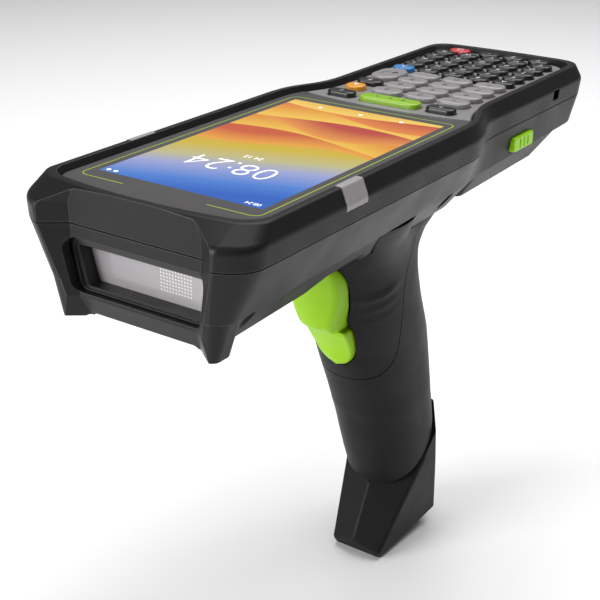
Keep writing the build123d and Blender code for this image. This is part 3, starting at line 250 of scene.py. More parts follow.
def window_pane():
    """Tinted acrylic pane of the scan window, coloured by a painted reflection: pale, darker towards its
    left end.
    """
    material, tree, shader, mm = finish_start("tinted_acrylic_pane")
    axes = add(tree, "ShaderNodeSeparateXYZ", {"Vector": mm})
    fade = add(tree, "ShaderNodeMapRange", {"Value": axes.outputs["X"], "From Min": -24.0,
                                            "From Max": 18.0})
    haze = add(tree, "ShaderNodeTexNoise", {"Vector": mm, "Scale": PATCH_SCALE, "Detail": 4.0})
    # Painted reflection: pale grey that darkens towards the left end.
    painted_reflection = add(tree, "ShaderNodeMix", {0: fade.outputs["Result"], 6: tone("#918d90"),
                                       7: tone("#aeaaad")}, data_type="RGBA")
    tree.links.new(painted_reflection.outputs[2], shader.inputs["Base Color"])
    gloss = add(tree, "ShaderNodeMapRange", {"Value": haze.outputs["Fac"], "To Min": 0.05,
                                             "To Max": 0.14})
    tree.links.new(gloss.outputs["Result"], shader.inputs["Roughness"])
    shader.inputs["IOR"].default_value = 1.49
    return material


def solder_mask():
    """Green solder mask over copper tracks: glossy lacquer with the tracks standing through it."""
    material, tree, shader, mm = finish_start("green_solder_mask")
    tracks = add(tree, "ShaderNodeTexBrick", {"Vector": mm, "Scale": TRACK_SCALE,
                                              "Color1": tone("#1d4a2c"), "Color2": tone("#245a35"),
                                              "Mortar": tone("#2f7040"), "Mortar Size": 0.03})
    tree.links.new(tracks.outputs["Color"], shader.inputs["Base Color"])
    bump = add(tree, "ShaderNodeBump", {"Height": tracks.outputs["Fac"], "Distance": 0.03 * MM})
    tree.links.new(bump.outputs["Normal"], shader.inputs["Normal"])
    shader.inputs["Roughness"].default_value = 0.35
    return material


def ink(name, colour, roughness=0.5, glow=0.0):
    """Screen-printed ink: flat and slightly uneven in cover, so its tone wanders a little."""
    material, tree, shader, mm = finish_start(name)
    base = tone(colour)
    cover = add(tree, "ShaderNodeTexNoise", {"Vector": mm, "Scale": COVER_SCALE, "Detail": 2.0})
    thin = [v * 0.88 for v in base[:3]] + [1.0]
    mixed = add(tree, "ShaderNodeMix", {0: cover.outputs["Fac"], 6: thin, 7: base}, data_type="RGBA")
    tree.links.new(mixed.outputs[2], shader.inputs["Base Color"])
    uneven = add(tree, "ShaderNodeMapRange", {"Value": cover.outputs["Fac"], "To Min": roughness - 0.05,
                                              "To Max": roughness + 0.05})
    tree.links.new(uneven.outputs["Result"], shader.inputs["Roughness"])
    if glow:
        shader.inputs["Emission Color"].default_value = base
        shader.inputs["Emission Strength"].default_value = glow
    return material


# Charcoal polycarbonate, spark-eroded tool: satin black with fine grain; its paler edges and rim are a
# painted highlight, with some rubbing.
HOUSING = moulded("moulded_charcoal_polycarbonate", "#141315", 0.42, grain=0.45, depth=0.02,
                  edge=0.6, wear_and_highlight_code="#6c6a6d", radius=0.35, specular=0.27)
# Soft thermoplastic rubber over the grip: deep black that takes up light, hardly any shine.
GRIP_RUBBER = moulded("overmoulded_soft_rubber", "#0d0d0e", 0.5, grain=0.5, depth=0.015, edge=0.1,
                      wear_and_highlight_code="#3a3a3c", specular=0.22)
# Solid rubber of the boot: as black as the grip, its facet edges painted paler as scuffs and as a painted
# highlight.
BOOT_RUBBER = moulded("moulded_boot_rubber", "#0f0e0f", 0.48, grain=0.5, depth=0.015, edge=0.2,
                      wear_and_highlight_code="#3c3a3b", radius=0.5, specular=0.22)
# Polycarbonate of the battery: the case's black from another tool, a little duller.
BATTERY_PLASTIC = moulded("moulded_battery_polycarbonate", "#131214", 0.48, grain=0.45,
                          depth=0.02, edge=0.25, wear_and_highlight_code="#5c5a5d", radius=0.4, specular=0.3)
# Sprayed lacquer on plastic: even warm grey with a soft satin and a faint orange peel.
FACEPLATE = moulded("painted_grey_faceplate", "#7c7a7b", 0.42, grain=0.35, depth=0.008, edge=0.2,
                    wear_and_highlight_code="#9a9899")
# Through-coloured ABS from a polished tool: strong lime with a painted sheen on its rolled edges.
LIME = moulded("moulded_lime_abs", "#93c800", 0.4, grain=0.6, depth=0.003, drift=0.03, edge=0.15,
               wear_and_highlight_code="#b8e020", radius=0.3, specular=0.35)
# The same ABS on the latches: brighter, with pale ribs, painted as rubbing and as a highlight.
LIME_LATCH = moulded("moulded_lime_latch", "#a9ec06", 0.35, grain=0.4, depth=0.004, edge=0.2,
                     wear_and_highlight_code="#c8f060")
# Key caps of hard-coated plastic: smooth and fairly glossy, with a paler rim, painted as thumb wear and as
# a highlight.
LIME_KEY = moulded("lime_key_cap", "#86b31a", 0.3, grain=0.5, depth=0.004, edge=0.2,
                   wear_and_highlight_code="#b4dc4a", coat=0.3)
DARK_KEY = moulded("dark_key_cap", "#151415", 0.3, grain=0.5, depth=0.004, edge=0.3,
                   wear_and_highlight_code="#7a7879", coat=0.3)
WHITE_KEY = moulded("white_key_cap", "#8d898b", 0.3, grain=0.5, depth=0.004, drift=0.03, edge=0.2,
                    wear_and_highlight_code="#d8d6d7", coat=0.3)
ORANGE_KEY = moulded("orange_key_cap", "#dc9418", 0.3, grain=0.5, depth=0.004, edge=0.2,
                     wear_and_highlight_code="#f4bc58", coat=0.3)
BLUE_KEY = moulded("blue_key_cap", "#2a78b4", 0.3, grain=0.5, depth=0.004, edge=0.2,
                   wear_and_highlight_code="#5aa4dc", coat=0.3)
RED_KEY = moulded("red_key_cap", "#bc2c34", 0.3, grain=0.5, depth=0.004, edge=0.2,
                  wear_and_highlight_code="#e8606a", coat=0.3)
# Black polycarbonate of the window frame: dull, so that the steps stay dark round the pane.
BEZEL = moulded("black_bezel_polycarbonate", "#171718", 0.45, grain=0.3, depth=0.01, edge=0.2,
                wear_and_highlight_code="#3c3c3e")
# Diffusing acrylic of the light pipes: milky grey with a clear skin.
LIGHT_PIPE = moulded("diffusing_light_pipe", "#9a9597", 0.3, grain=0.4, depth=0.004, drift=0.03,
                     coat=0.2)
# Closed-cell foam of the gasket: dead matt black with open pores.
FOAM = moulded("black_gasket_foam", "#141414", 0.85, grain=0.3, depth=0.05)
# Laminated display module: near-black with a clear polarising film.
DISPLAY = moulded("black_display_module", "#20242c", 0.2, grain=0.6, depth=0.003, coat=0.4)
# Moulded silicone of the key mat: grey and slightly waxy.
SILICONE = moulded("grey_silicone_mat", "#5c5c5e", 0.6, grain=0.5, depth=0.01)
# Glass-filled nylon of the imager and the switch: dull black with edges painted bright, as wear and as a
# highlight.
ENGINE = moulded("black_imager_housing", "#1c1c1e", 0.45, grain=0.3, depth=0.01, edge=0.2,
                 wear_and_highlight_code="#444446")
# Cast magnesium, bead blasted: an even soft grey metal.
MAGNESIUM = blasted_metal("blasted_magnesium", "#a8a9ab", 0.45)
# Zinc-plated steel: bright metal with patches of duller plating.
ZINC = blasted_metal("zinc_plated_steel", "#b5b7b9", 0.3)
# Gold-plated spring contacts: warm and the glossiest of the metals.
GOLD = blasted_metal("gold_plated_contact", "#c9a14a", 0.25)
GLASS = cover_glass()
PANE = window_pane()
BOARD = solder_mask()
# Screen inks: flat colour with a cover that is a little uneven.
PINSTRIPE_INK = ink("lime_pinstripe_ink", "#9bb23a", 0.3)
WHITE_INK = ink("white_legend_ink", "#e4e2e3")
DARK_INK = ink("dark_legend_ink", "#343235")
ORANGE_INK = ink("orange_legend_ink", "#e09a30")
BLUE_INK = ink("blue_legend_ink", "#5a96c8")
# Lit figures of the display: white that gives off a little light.
SCREEN_WHITE = ink("white_screen_digits", "#f2f0f4", 0.3, glow=0.7)

DRESS = {
    HOUSING: ("upper_housing", "lower_housing"),
    FACEPLATE: ("keypad_plate",),
    BATTERY_PLASTIC: ("battery_pack", "battery_cover"),
    GLASS: ("display_glass",),
    DISPLAY: ("display_panel",),
    FOAM: ("screen_gasket",),
    MAGNESIUM: ("mid_frame", "grip_core"),
    BOARD: ("main_board",),
    SILICONE: ("key_mat",),
    LIGHT_PIPE: ("light_pipe_left", "light_pipe_right"),
    BEZEL: ("window_bezel",),
    PANE: ("scan_window",),
    ENGINE: ("scan_engine", "trigger_switch"),
    LIME: ("trigger",),
    LIME_LATCH: ("battery_latch_left", "battery_latch_right"),
    LIME_KEY: ("scan_key",),
    ZINC: ("housing_screws", "grip_screws", "trigger_pin", "trigger_spring"),
    GOLD: ("battery_contacts",),
    BOOT_RUBBER: ("grip_boot",),
    GRIP_RUBBER: ("grip_shell", "grip_front_cover"),
    ORANGE_KEY: ("shift_key",),
    BLUE_KEY: ("alpha_key",),
    RED_KEY: ("power_key",),
    DARK_KEY: ("soft_key_left", "soft_key_right", "function_key"),
    WHITE_KEY: ("enter_key",),
}


def dress_nodes():
    """Give every CAD node its finish."""
    wanted = {name: finish for finish, names in DRESS.items() for name in names}
    for name in NODES:
        if name.startswith("letter_keys"):
            wanted[name] = DARK_KEY
        if name.startswith("number_key"):
            wanted[name] = WHITE_KEY
    for name, node in NODES.items():
        node.data.materials.clear()
        node.data.materials.append(wanted[name])


# ---------------------------------------------------------------- mesh helpers
SHARP = math.radians(38)    # edges that turn by more than this stay sharp


def piece(name, verts, faces, finish, body, smooth=True):
    """Make a mesh piece from head-datum points and let it ride on a body."""
    mesh = bpy.data.meshes.new(name)
    mesh.from_pydata([place(*v) for v in verts], [], faces)
    mesh.materials.append(finish)
    return seat_mesh(name, mesh, body, smooth)


def seat_mesh(name, mesh, body, smooth=True):
    """Link a finished mesh as a piece of the model."""
    work = bmesh.new()
    work.from_mesh(mesh)
    bmesh.ops.recalc_face_normals(work, faces=work.faces)
    work.to_mesh(mesh)
    work.free()
    made = bpy.data.objects.new(name, mesh)
    bpy.context.scene.collection.objects.link(made)
    for face in mesh.polygons:
        face.use_smooth = smooth
    if smooth:
        mesh.set_sharp_from_angle(angle=SHARP)
    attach(made, body)
    return made


def tube(rings):
    """Points and faces of a closed skin through equal rings of points."""
    count = len(rings[0])
    verts = [p for ring in rings for p in ring]
    faces = []
    for level in range(len(rings) - 1):
        a, b = level * count, (level + 1) * count
        faces += [(a + i, a + (i + 1) % count, b + (i + 1) % count, b + i) for i in range(count)]
    faces.append(tuple(reversed(range(count))))
    faces.append(tuple(range(len(verts) - count, len(verts))))
    return verts, faces


def rough_solid(rings):
    """Closed solid through rings of points, for carving; it never becomes a piece itself."""
    verts, faces = tube(rings)
    mesh = bpy.data.meshes.new("carving")
    mesh.from_pydata([place(*v) for v in verts], [], faces)
    work = bmesh.new()
    work.from_mesh(mesh)
    bmesh.ops.remove_doubles(work, verts=work.verts, dist=1e-6)
    bmesh.ops.recalc_face_normals(work, faces=work.faces)
    work.to_mesh(mesh)
    work.free()
    made = bpy.data.objects.new("carving", mesh)
    bpy.context.scene.collection.objects.link(made)
    return made


def carve(solid, cutter, operation="DIFFERENCE"):
    """Cut, join or intersect solid with cutter, and discard the cutter."""
    step = solid.modifiers.new("carve", "BOOLEAN")
    step.operation = operation
    step.solver = "EXACT"
    step.object = cutter
    bpy.context.view_layer.update()
    shaped = solid.evaluated_get(bpy.context.evaluated_depsgraph_get())
    mesh = bpy.data.meshes.new_from_object(shaped)
    solid.modifiers.clear()
    solid.data = mesh
    bpy.data.objects.remove(cutter)
    return solid


def block(x0, x1, y0, y1, z0, z1):
    """Plain block for carving."""
    return rough_solid([[(x0, y0, z), (x1, y0, z), (x1, y1, z), (x0, y1, z)] for z in (z0, z1)])


def slab(profile, half):
    """Solid right across the middle plane with a side profile of y and z."""
    return rough_solid([[(x, y, z) for y, z in profile] for x in (-half, half)])


def bar(y, z, radius, half, sides=32):
    """Round bar across the middle plane, for carving."""
    turns = [2 * math.pi * i / sides for i in range(sides)]
    return slab([(y + radius * math.cos(turn), z + radius * math.sin(turn)) for turn in turns], half)


def glide(rows, t):
    """Row of numbers at t on the smooth curve through rows."""
    index = min(int(t), len(rows) - 2)
    t -= index
    before, start = rows[max(index - 1, 0)], rows[index]
    end, after = rows[index + 1], rows[min(index + 2, len(rows) - 1)]
    values = []
    for p, a, b, n in zip(before, start, end, after):
        rise, fall = (b - p) / 2, (n - a) / 2
        values.append(a + rise * t + (3 * (b - a) - 2 * rise - fall) * t ** 2
                      + (rise + fall - 2 * (b - a)) * t ** 3)
    return values


# ---------------------------------------------------------------- outlines of the case that the grip meets
HEAD_HALF, TAIL_HALF = 36.7, 30.0
NOSE_Y, TAIL_Y = -65.4, 139.4
SEAM_Z, EDGE_Z, BELLY_Z = -8.3, -21.5, -31.4
EDGE_SLOPE, BELLY_SLOPE = 0.028, 0.034
SEAM_CORNER, EDGE_CORNER = 8.0, 4.0
SEAM_INSET = 0.5            # from the widest outline to the seam
EDGE_INSET = (7.6, 2.3)     # from the widest outline to the lower edge, at the head and the tail
EDGE_NOSE = 1.4             # how far the lower edge stays back at the nose
NOSE_BOW, NOSE_FLAT = 2.0, 28.7
CORNER_LENGTH = 1.25        # a front corner is this much longer than it is wide
WAIST = (42.0, 56.5, 71.0)  # where the head starts to narrow, the middle, where the tail starts
REAR_CORNER, REAR_PULL, REAR_BOW = 9.0, 1.0, 0.6
BELLY_TOP = (28.0, -62.6, 63.5)     # half width, front and rear
BELLY_BASE = (20.5, -60.6, 61.5)
BELLY_CORNER = 5.0
BELLY_OVERLAP = 0.5


def curve(points, count):
    """Points on the Bezier curve of any degree through its poles."""
    made = []
    for step in range(count):
        t, row = step / count, [Vector(p) for p in points]
        while len(row) > 1:
            row = [a.lerp(b, t) for a, b in zip(row, row[1:])]
        made.append((row[0].x, row[0].y))
    return made


def case_outline(head, tail, nose, rear, corner):
    """Plan of the case, the same number of points at every level."""
    flat = head - corner
    long_corner = CORNER_LENGTH * corner
    shoulder = nose + NOSE_BOW * flat / NOSE_FLAT
    side_y = shoulder + long_corner
    narrows, waist, tail_start = WAIST
    right = (curve([(0, nose), (flat / 2, nose), (flat, shoulder)], 6)
             + curve([(flat, shoulder), (head, shoulder + long_corner / 3), (head, side_y)], 8)
             + [(head, side_y)]
             + curve([(head, narrows), (head, waist), (tail, waist), (tail, tail_start)], 16)
             + [(tail, tail_start)]
             + curve([(tail, rear - REAR_CORNER), (tail, rear - REAR_PULL),
                      (tail - REAR_CORNER, rear - REAR_BOW)], 8)
             + [(tail - REAR_CORNER, rear - REAR_BOW)])
    return right + [(-x, y) for x, y in reversed(right[1:])]


def case_sides(grow):
    """Lower case from the seam to its lower edge, grown by a clearance."""
    head_inset, tail_inset = EDGE_INSET
    seam = case_outline(HEAD_HALF - SEAM_INSET + grow, TAIL_HALF - SEAM_INSET + grow, NOSE_Y - grow,
                        TAIL_Y - SEAM_INSET + grow, SEAM_CORNER)
    edge = case_outline(HEAD_HALF - head_inset + grow, TAIL_HALF - tail_inset + grow,
                        NOSE_Y + EDGE_NOSE - grow, TAIL_Y - tail_inset + grow, EDGE_CORNER)
    return rough_solid([[(x, y, SEAM_Z) for x, y in seam],
                        [(x, y, EDGE_Z - grow + EDGE_SLOPE * y) for x, y in edge]])


def rounded(half, y0, y1, radius):
    """Rounded rectangle in plan."""
    made = []
    for quarter, (cx, cy) in enumerate(((half - radius, y1 - radius), (radius - half, y1 - radius),
                                        (radius - half, y0 + radius), (half - radius, y0 + radius))):
        for step in range(6):
            turn = math.pi / 2 * (quarter + step / 5)
            made.append((cx + radius * math.cos(turn), cy + radius * math.sin(turn)))
    return made


def case_belly(grow):
    """Underside of the head, grown by a clearance."""
    top, base = (rounded(half + grow, front - grow, rear + grow, BELLY_CORNER)
                 for half, front, rear in (BELLY_TOP, BELLY_BASE))
    return rough_solid([[(x, y, EDGE_Z + BELLY_OVERLAP + EDGE_SLOPE * y) for x, y in top],
                        [(x, y, BELLY_Z - grow + BELLY_SLOPE * y) for x, y in base]])


# ---------------------------------------------------------------- grip
GRIP_STATIONS = (   # height, centre, half width, half depth
    (-24.0, 40.0, 20.8, 33.0), (-31.0, 40.0, 20.0, 31.0), (-36.0, 39.0, 18.2, 26.0),
    (-43.0, 38.6, 17.2, 22.6), (-56.0, 42.4, 16.7, 20.8), (-74.0, 49.4, 16.2, 20.4),
    (-100.0, 57.2, 15.3, 17.8), (-118.0, 62.3, 14.8, 16.4), (-140.0, 69.0, 14.3, 15.8),
)
SHOULDER_STATIONS = (   # the neck's flare below the case: height, centre, half width, half depth
    (-22.3, 19.0, 28.5, 23.5), (-25.0, 20.2, 27.0, 22.6), (-28.5, 22.4, 24.7, 20.8),
    (-32.0, 25.4, 22.3, 18.8), (-36.0, 29.6, 19.8, 17.2), (-40.5, 34.0, 17.0, 15.6),
    (-45.0, 37.0, 14.6, 14.0), (-52.0, 41.0, 11.0, 11.0),
)
GRIP_TOP, GRIP_FOOT = GRIP_STATIONS[0][0], GRIP_STATIONS[-1][0]
FOOT_RAKE = 0.305       # how far the handle runs back per millimetre below its last station
SHOULDER_BLEND = 12.0   # higher keeps the flare and the handle more apart
GRIP_POWER = 2.3        # superellipse of the handle's section
GRIP_WALL = 2.4
WALL_FOOT = -149.0
BORE_TOP, BORE_FOOT = -20.0, -153.0
NECK_REAR = 64.4        # nothing of the neck stands behind this
NECK_BLOCK = (140.0, -50.0, 0.0)    # rear, foot and top of what is cut off there
CASE_GAP = 0.3
BEYOND = 40.0           # past the grip's sides, for what cuts right across it
RIDGES = (   # arcs on the cover's sides: y and z of start, middle and end, height, width
    ((7.0, -49.6), (24.0, -52.4), (39.0, -48.4), 0.75, 1.9),
    ((9.0, -53.4), (24.0, -56.8), (38.0, -53.0), 0.5, 1.4),
    ((15.0, -58.6), (27.0, -60.8), (39.0, -57.6), 0.22, 1.2),
)
RIDGE_UNDERSIDE = 0.35  # width of a ridge's lower flank as a share of its upper one
RIDGE_REACH = 1.3       # how soon a ridge is at full height on its way round to the side


def ridge_lift(y, z):
    """How far the side of the cover stands proud at y, z."""
    lift = 0.0
    for start, middle, end, height, width in RIDGES:
        t = max(0.0, min(1.0, (y - start[0]) / (end[0] - start[0])))
        pole = 2 * middle[1] - (start[1] + end[1]) / 2
        arc = (1 - t) ** 2 * start[1] + 2 * t * (1 - t) * pole + t ** 2 * end[1]
        fade = max(0.0, min(1.0, 6 * t * (1 - t)))
        below = arc - z
        flank = width if below < 0 else RIDGE_UNDERSIDE * width
        lift += height * fade * math.exp(-(below / flank) ** 2)
    return lift


def station_at(stations, z):
    """Centre, half width and half depth at height z, or nothing outside the stations."""
    heights = [row[0] for row in stations]
    if z > heights[0] or z < heights[-1]:
        return None
    level = min(max(i for i, h in enumerate(heights) if h >= z), len(heights) - 2)
    t = level + (heights[level] - z) / (heights[level] - heights[level + 1])
    return glide(stations, t)[1:]


def reach(section, centre, c, s):
    """Distance from the centre to a superellipse's rim along a direction."""
    yc, a, b = section
    near, far = 0.0, 80.0
    for _ in range(24):
        mid = (near + far) / 2
        inside = abs(mid * c / a) ** GRIP_POWER + abs((centre + mid * s - yc) / b) ** GRIP_POWER < 1
        near, far = (mid, far) if inside else (near, mid)
    return near


def grip_rings(inset, top, bottom, steps, count=96, flared=False):
    """Sections of the handle from top to bottom, with the neck's flare and ridges if asked."""
    rings = []
    for step in range(steps + 1):
        z = top + (bottom - top) * step / steps
        yc, a, b = station_at(GRIP_STATIONS, max(GRIP_FOOT, min(GRIP_TOP, z)))
        if z < GRIP_FOOT:
            yc -= FOOT_RAKE * (z - GRIP_FOOT)
        flare = station_at(SHOULDER_STATIONS, z) if flared else None
        ring = []
        for i in range(count):
            turn = 2 * math.pi * (i + 0.5) / count
            c, s = math.cos(turn), math.sin(turn)
            x = math.copysign(abs(c) ** (2 / GRIP_POWER), c) * (a - inset)
            y = yc + math.copysign(abs(s) ** (2 / GRIP_POWER), s) * (b - inset)
            if flare:
                size = math.hypot(x, y - yc)
                wide = reach(flare, yc, x / size, (y - yc) / size)
                grow = (1 + (wide / size) ** SHOULDER_BLEND) ** (1 / SHOULDER_BLEND)
                x, y = x * grow, yc + (y - yc) * grow
            if flared:
                x += math.copysign(ridge_lift(y, z) * min(1.0, abs(x) / a * RIDGE_REACH) ** 2, x)
            ring.append((x, y, z))
        rings.append(ring)
    return rings


FINGER_WEDGE = (    # y and z round the finger space ahead of the trigger
    (-22.0, -36.0), (-19.6, -32.6), (-10.4, -29.2), (-3.0, -28.6), (8.0, -28.6), (11.0, -36.0),
)
COLLAR_SLANT = math.radians(42.0)
COLLAR_FOOT = Vector((0, 50.6, -133.0))
COLLAR_GAP = 0.9
COVER_TOP_Y, COVER_SEAM_Y, COVER_SEAM_Z = 45.5, 40.6, -52.0
COVER_FOOT_Z, COVER_CORNER = -85.2, 13.0
COVER_GAP = 0.3
LOBE = (   # height, half width, front, back
    (-34.8, 3.4, 13.6, 19.8), (-37.5, 6.4, 13.1, 19.8), (-41.0, 8.5, 13.0, 19.8),
    (-45.0, 9.3, 13.4, 20.2), (-49.5, 9.1, 14.1, 21.2), (-54.0, 8.2, 14.3, 22.8),
    (-57.5, 7.0, 14.6, 24.4), (-60.2, 6.2, 15.6, 25.6), (-62.6, 5.6, 18.4, 27.2),
)
TONGUE = (  # the same below the lobe
    (-62.6, 5.6, 20.9, 27.2), (-63.0, 6.9, 21.1, 27.6), (-64.2, 7.2, 21.7, 28.2),
    (-67.0, 7.2, 23.6, 29.4), (-71.0, 6.7, 26.0, 31.2), (-74.5, 5.5, 27.4, 32.4),
    (-76.8, 3.6, 28.4, 33.0), (-77.8, 1.8, 29.0, 33.0),
)
SLOT_GAP, SLOT_FRONT, SLOT_BACK = 0.6, -12.0, 39.0
TONGUE_RISE = 1.0       # room above the tongue's corners, which lift as the trigger is pulled
TONGUE_CORNERS_Z = -65.0


def belly_relief():
    """Wedge of finger space cut from the underside ahead of the trigger."""
    return slab([(y, z - CASE_GAP) for y, z in FINGER_WEDGE], BEYOND)


def above_collar(gap, size=160, half=60):
    """Block above the boot's slanted collar."""
    along = Vector((0, math.cos(COLLAR_SLANT), math.sin(COLLAR_SLANT)))
    normal = Vector((0, -math.sin(COLLAR_SLANT), math.cos(COLLAR_SLANT)))
    foot = COLLAR_FOOT + normal * gap
    low = [foot + Vector((sx * half, 0, 0)) + along * sy * size
           for sx, sy in ((-1, -1), (1, -1), (1, 1), (-1, 1))]
    return rough_solid([[tuple(p) for p in low], [tuple(p + normal * size) for p in low]])


def cover_side(gap):
    """Side profile of the front cover as a block right across the grip."""
    front, roof = -10.0, -20.0
    top, seam, bottom = COVER_TOP_Y + gap, COVER_SEAM_Y + gap, COVER_FOOT_Z - gap
    profile = [(front, roof), (top, roof), (top, EDGE_Z), (seam, COVER_SEAM_Z)]
    for step in range(13):
        turn = math.pi / 2 * step / 12
        profile.append((seam - COVER_CORNER + COVER_CORNER * math.cos(turn),
                        bottom + COVER_CORNER - COVER_CORNER * math.sin(turn)))
    return slab(profile + [(front, bottom)], BEYOND)


def trigger_slot(gap):
    """Slot in the cover that follows the trigger's outline."""
    right = [(half + gap, z) for z, half, _, _ in LOBE[:-1]]
    right += [(half + gap, z + (TONGUE_RISE if z > TONGUE_CORNERS_Z else 0.0))
              for z, half, _, _ in TONGUE[1:]]
    right[0] = (right[0][0], right[0][1] + gap)
    right[-1] = (right[-1][0], right[-1][1] - gap)
    profile = right + [(-x, z) for x, z in reversed(right)]
    return rough_solid([[(x, y, z) for x, z in profile] for y in (SLOT_FRONT, SLOT_BACK)])


def handle_wall():
    """Hollow wall of the grip with its saddle, clear of the case and cut to the collar."""
    wall = rough_solid(grip_rings(0.0, SHOULDER_STATIONS[0][0], WALL_FOOT, 156, flared=True))
    carve(wall, case_sides(CASE_GAP))
    carve(wall, carve(case_belly(CASE_GAP), belly_relief()))
    carve(wall, rough_solid(grip_rings(GRIP_WALL, BORE_TOP, BORE_FOOT, 60, count=64)))
    carve(wall, block(-BEYOND, BEYOND, NECK_REAR, *NECK_BLOCK))
    return carve(wall, above_collar(COLLAR_GAP), "INTERSECT")


def finish_piece(made, node, finish, body):
    """Turn a carved solid into the smooth piece that stands in for a node."""
    mesh = made.data
    bpy.data.objects.remove(made)
    mesh.materials.clear()
    mesh.materials.append(finish)
    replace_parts(seat_mesh(f"smooth_{node}", mesh, body), node)


def grip():
    """Rear shell and front cover of the grip, each a smooth piece of the same wall."""
    wall = handle_wall()
    spare = bpy.data.objects.new("carving", wall.data.copy())
    bpy.context.scene.collection.objects.link(spare)
    shell = carve(wall, cover_side(COVER_GAP))
    cover = carve(spare, cover_side(0.0), "INTERSECT")
    carve(cover, trigger_slot(SLOT_GAP))
    finish_piece(shell, "grip_shell", GRIP_RUBBER, "case")
    finish_piece(cover, "grip_front_cover", GRIP_RUBBER, "case")


# ---------------------------------------------------------------- trigger
PIVOT_Y, PIVOT_Z = 24.0, -38.5
CROWN = 0.7                             # how far the front stands out in its middle
LOBE_BEVEL, TONGUE_BEVEL = 3.0, 0.9
ARM_HALF, ARM_FRONT, ARM_DROP, ARM_RISE = 7.2, 4.4, 9, 2
HUB_RADIUS, HUB_HALF = 3.6, 9.0
SPRING_HALF, SPRING_ROOM = 3.4, 4.6     # gap in the hub for the torsion spring
PIN_BORE, BORE_HALF = 1.55, 12.0


def trigger_ring(z, half, front, back, bevel):
    """Section of the trigger: crowned front, rolled edges, straight sides and back."""
    right = []
    for step in range(7):
        x = (half - bevel) * step / 6
        right.append((x, front + CROWN * (step / 6) ** 2))
    for step in range(1, 9):
        turn = math.pi / 2 * step / 8
        right.append((half - bevel + bevel * math.sin(turn),
                      front + CROWN + bevel * (1 - math.cos(turn))))
    right.append((half, (front + CROWN + bevel + back) / 2))
    right.append((half, back))
    right.append((half / 2, back))
    ring = right + [(-x, y) for x, y in reversed(right[1:])]
    return [(x, y, z) for x, y in ring]


def trigger_skin(levels, bevel, steps):
    """Smooth closed skin through the trigger's levels."""
    rings = []
    for step in range(steps + 1):
        z, half, front, back = glide(levels, (len(levels) - 1) * step / steps)
        fitting = min(bevel, half * 0.6, 0.55 * (back - front))
        rings.append(trigger_ring(z, half, front, back, fitting))
    return rough_solid(rings)


def trigger():
    """Lime trigger: smooth lobe, tongue below it, arm and hub on the pin."""
    made = trigger_skin(LOBE, LOBE_BEVEL, 64)
    carve(made, trigger_skin(TONGUE, TONGUE_BEVEL, 48), "UNION")
    carve(made, block(-ARM_HALF, ARM_HALF, PIVOT_Y - ARM_FRONT, PIVOT_Y, PIVOT_Z - ARM_DROP,
                      PIVOT_Z + ARM_RISE), "UNION")
    carve(made, bar(PIVOT_Y, PIVOT_Z, HUB_RADIUS, HUB_HALF), "UNION")
    carve(made, block(-SPRING_HALF, SPRING_HALF, PIVOT_Y - SPRING_ROOM, PIVOT_Y + SPRING_ROOM,
                      PIVOT_Z - SPRING_ROOM, PIVOT_Z + SPRING_ROOM))
    carve(made, bar(PIVOT_Y, PIVOT_Z, PIN_BORE, BORE_HALF))
    finish_piece(made, "trigger", LIME, "trigger")


# ---------------------------------------------------------------- printing on the glass
INK_LIFT = 0.02
DOT_SIDES = 16
STRIPE_HALF, STRIPE_NEAR, STRIPE_FAR, STRIPE_CORNER = 28.5, -48.5, 46.5, 2.5
STRIPE_ENDS = (13.3, -13.5)     # where the line stops on its near side
STRIPE_WIDTH = 0.42
SCREEN_DOT = 0.65
LETTER_SIZE = 1.42              # font size per millimetre of a capital's height
THIN_STROKE = -0.26             # taken off the strokes of figures taller than BIG_FIGURE
BIG_FIGURE = 5.0


def ribbon(name, path, width, z, finish, body):
    """Flat printed line along a path of points in plan."""
    verts = []
    for i, (x, y) in enumerate(path):
        before, after = path[max(i - 1, 0)], path[min(i + 1, len(path) - 1)]
        run = Vector((after[0] - before[0], after[1] - before[1])).normalized() * width / 2
        verts += [(x - run.y, y + run.x, z), (x + run.y, y - run.x, z)]
    faces = [(a, a + 1, a + 3, a + 2) for a in range(0, len(verts) - 2, 2)]
    return piece(name, verts, faces, finish, body, smooth=False)


def pinstripe():
    """Lime line round the picture, open in the middle of its near side."""
    r = STRIPE_CORNER
    x, near, far = STRIPE_HALF - r, STRIPE_NEAR + r, STRIPE_FAR - r
    path = [(STRIPE_ENDS[0], STRIPE_NEAR)]
    for cx, cy, start in ((x, near, -90), (x, far, 0), (-x, far, 90), (-x, near, 180)):
        for step in range(7):
            turn = math.radians(start + 15 * step)
            path.append((cx + r * math.cos(turn), cy + r * math.sin(turn)))
    path.append((STRIPE_ENDS[1], STRIPE_NEAR))
    ribbon("screen_pinstripe", path, STRIPE_WIDTH, INK_LIFT, PINSTRIPE_INK, "case")


def lettering(name, marks, finish, body):
    """Flat characters: text, x, y, height in mm and z; read from the keypad end."""
    work = bmesh.new()
    for text, x, y, height, z in marks:
        font = bpy.data.curves.new("mark", "FONT")
        font.body = text
        font.align_x, font.align_y = "CENTER", "CENTER"
        font.size = height * LETTER_SIZE
        font.resolution_u = 4
        font.offset = THIN_STROKE if height > BIG_FIGURE else 0.0
        holder = bpy.data.objects.new("mark", font)
        mesh = bpy.data.meshes.new_from_object(holder)
        mesh.transform(Matrix.Translation(place(x, y, z)) @ Matrix.Rotation(math.pi, 4, "Z")
                       @ Matrix.Diagonal((MM, MM, MM, 1.0)))
        work.from_mesh(mesh)
        bpy.data.objects.remove(holder)
        bpy.data.meshes.remove(mesh)
    mesh = bpy.data.meshes.new(name)
    work.to_mesh(mesh)
    work.free()
    mesh.materials.append(finish)
    return seat_mesh(name, mesh, body, smooth=False)


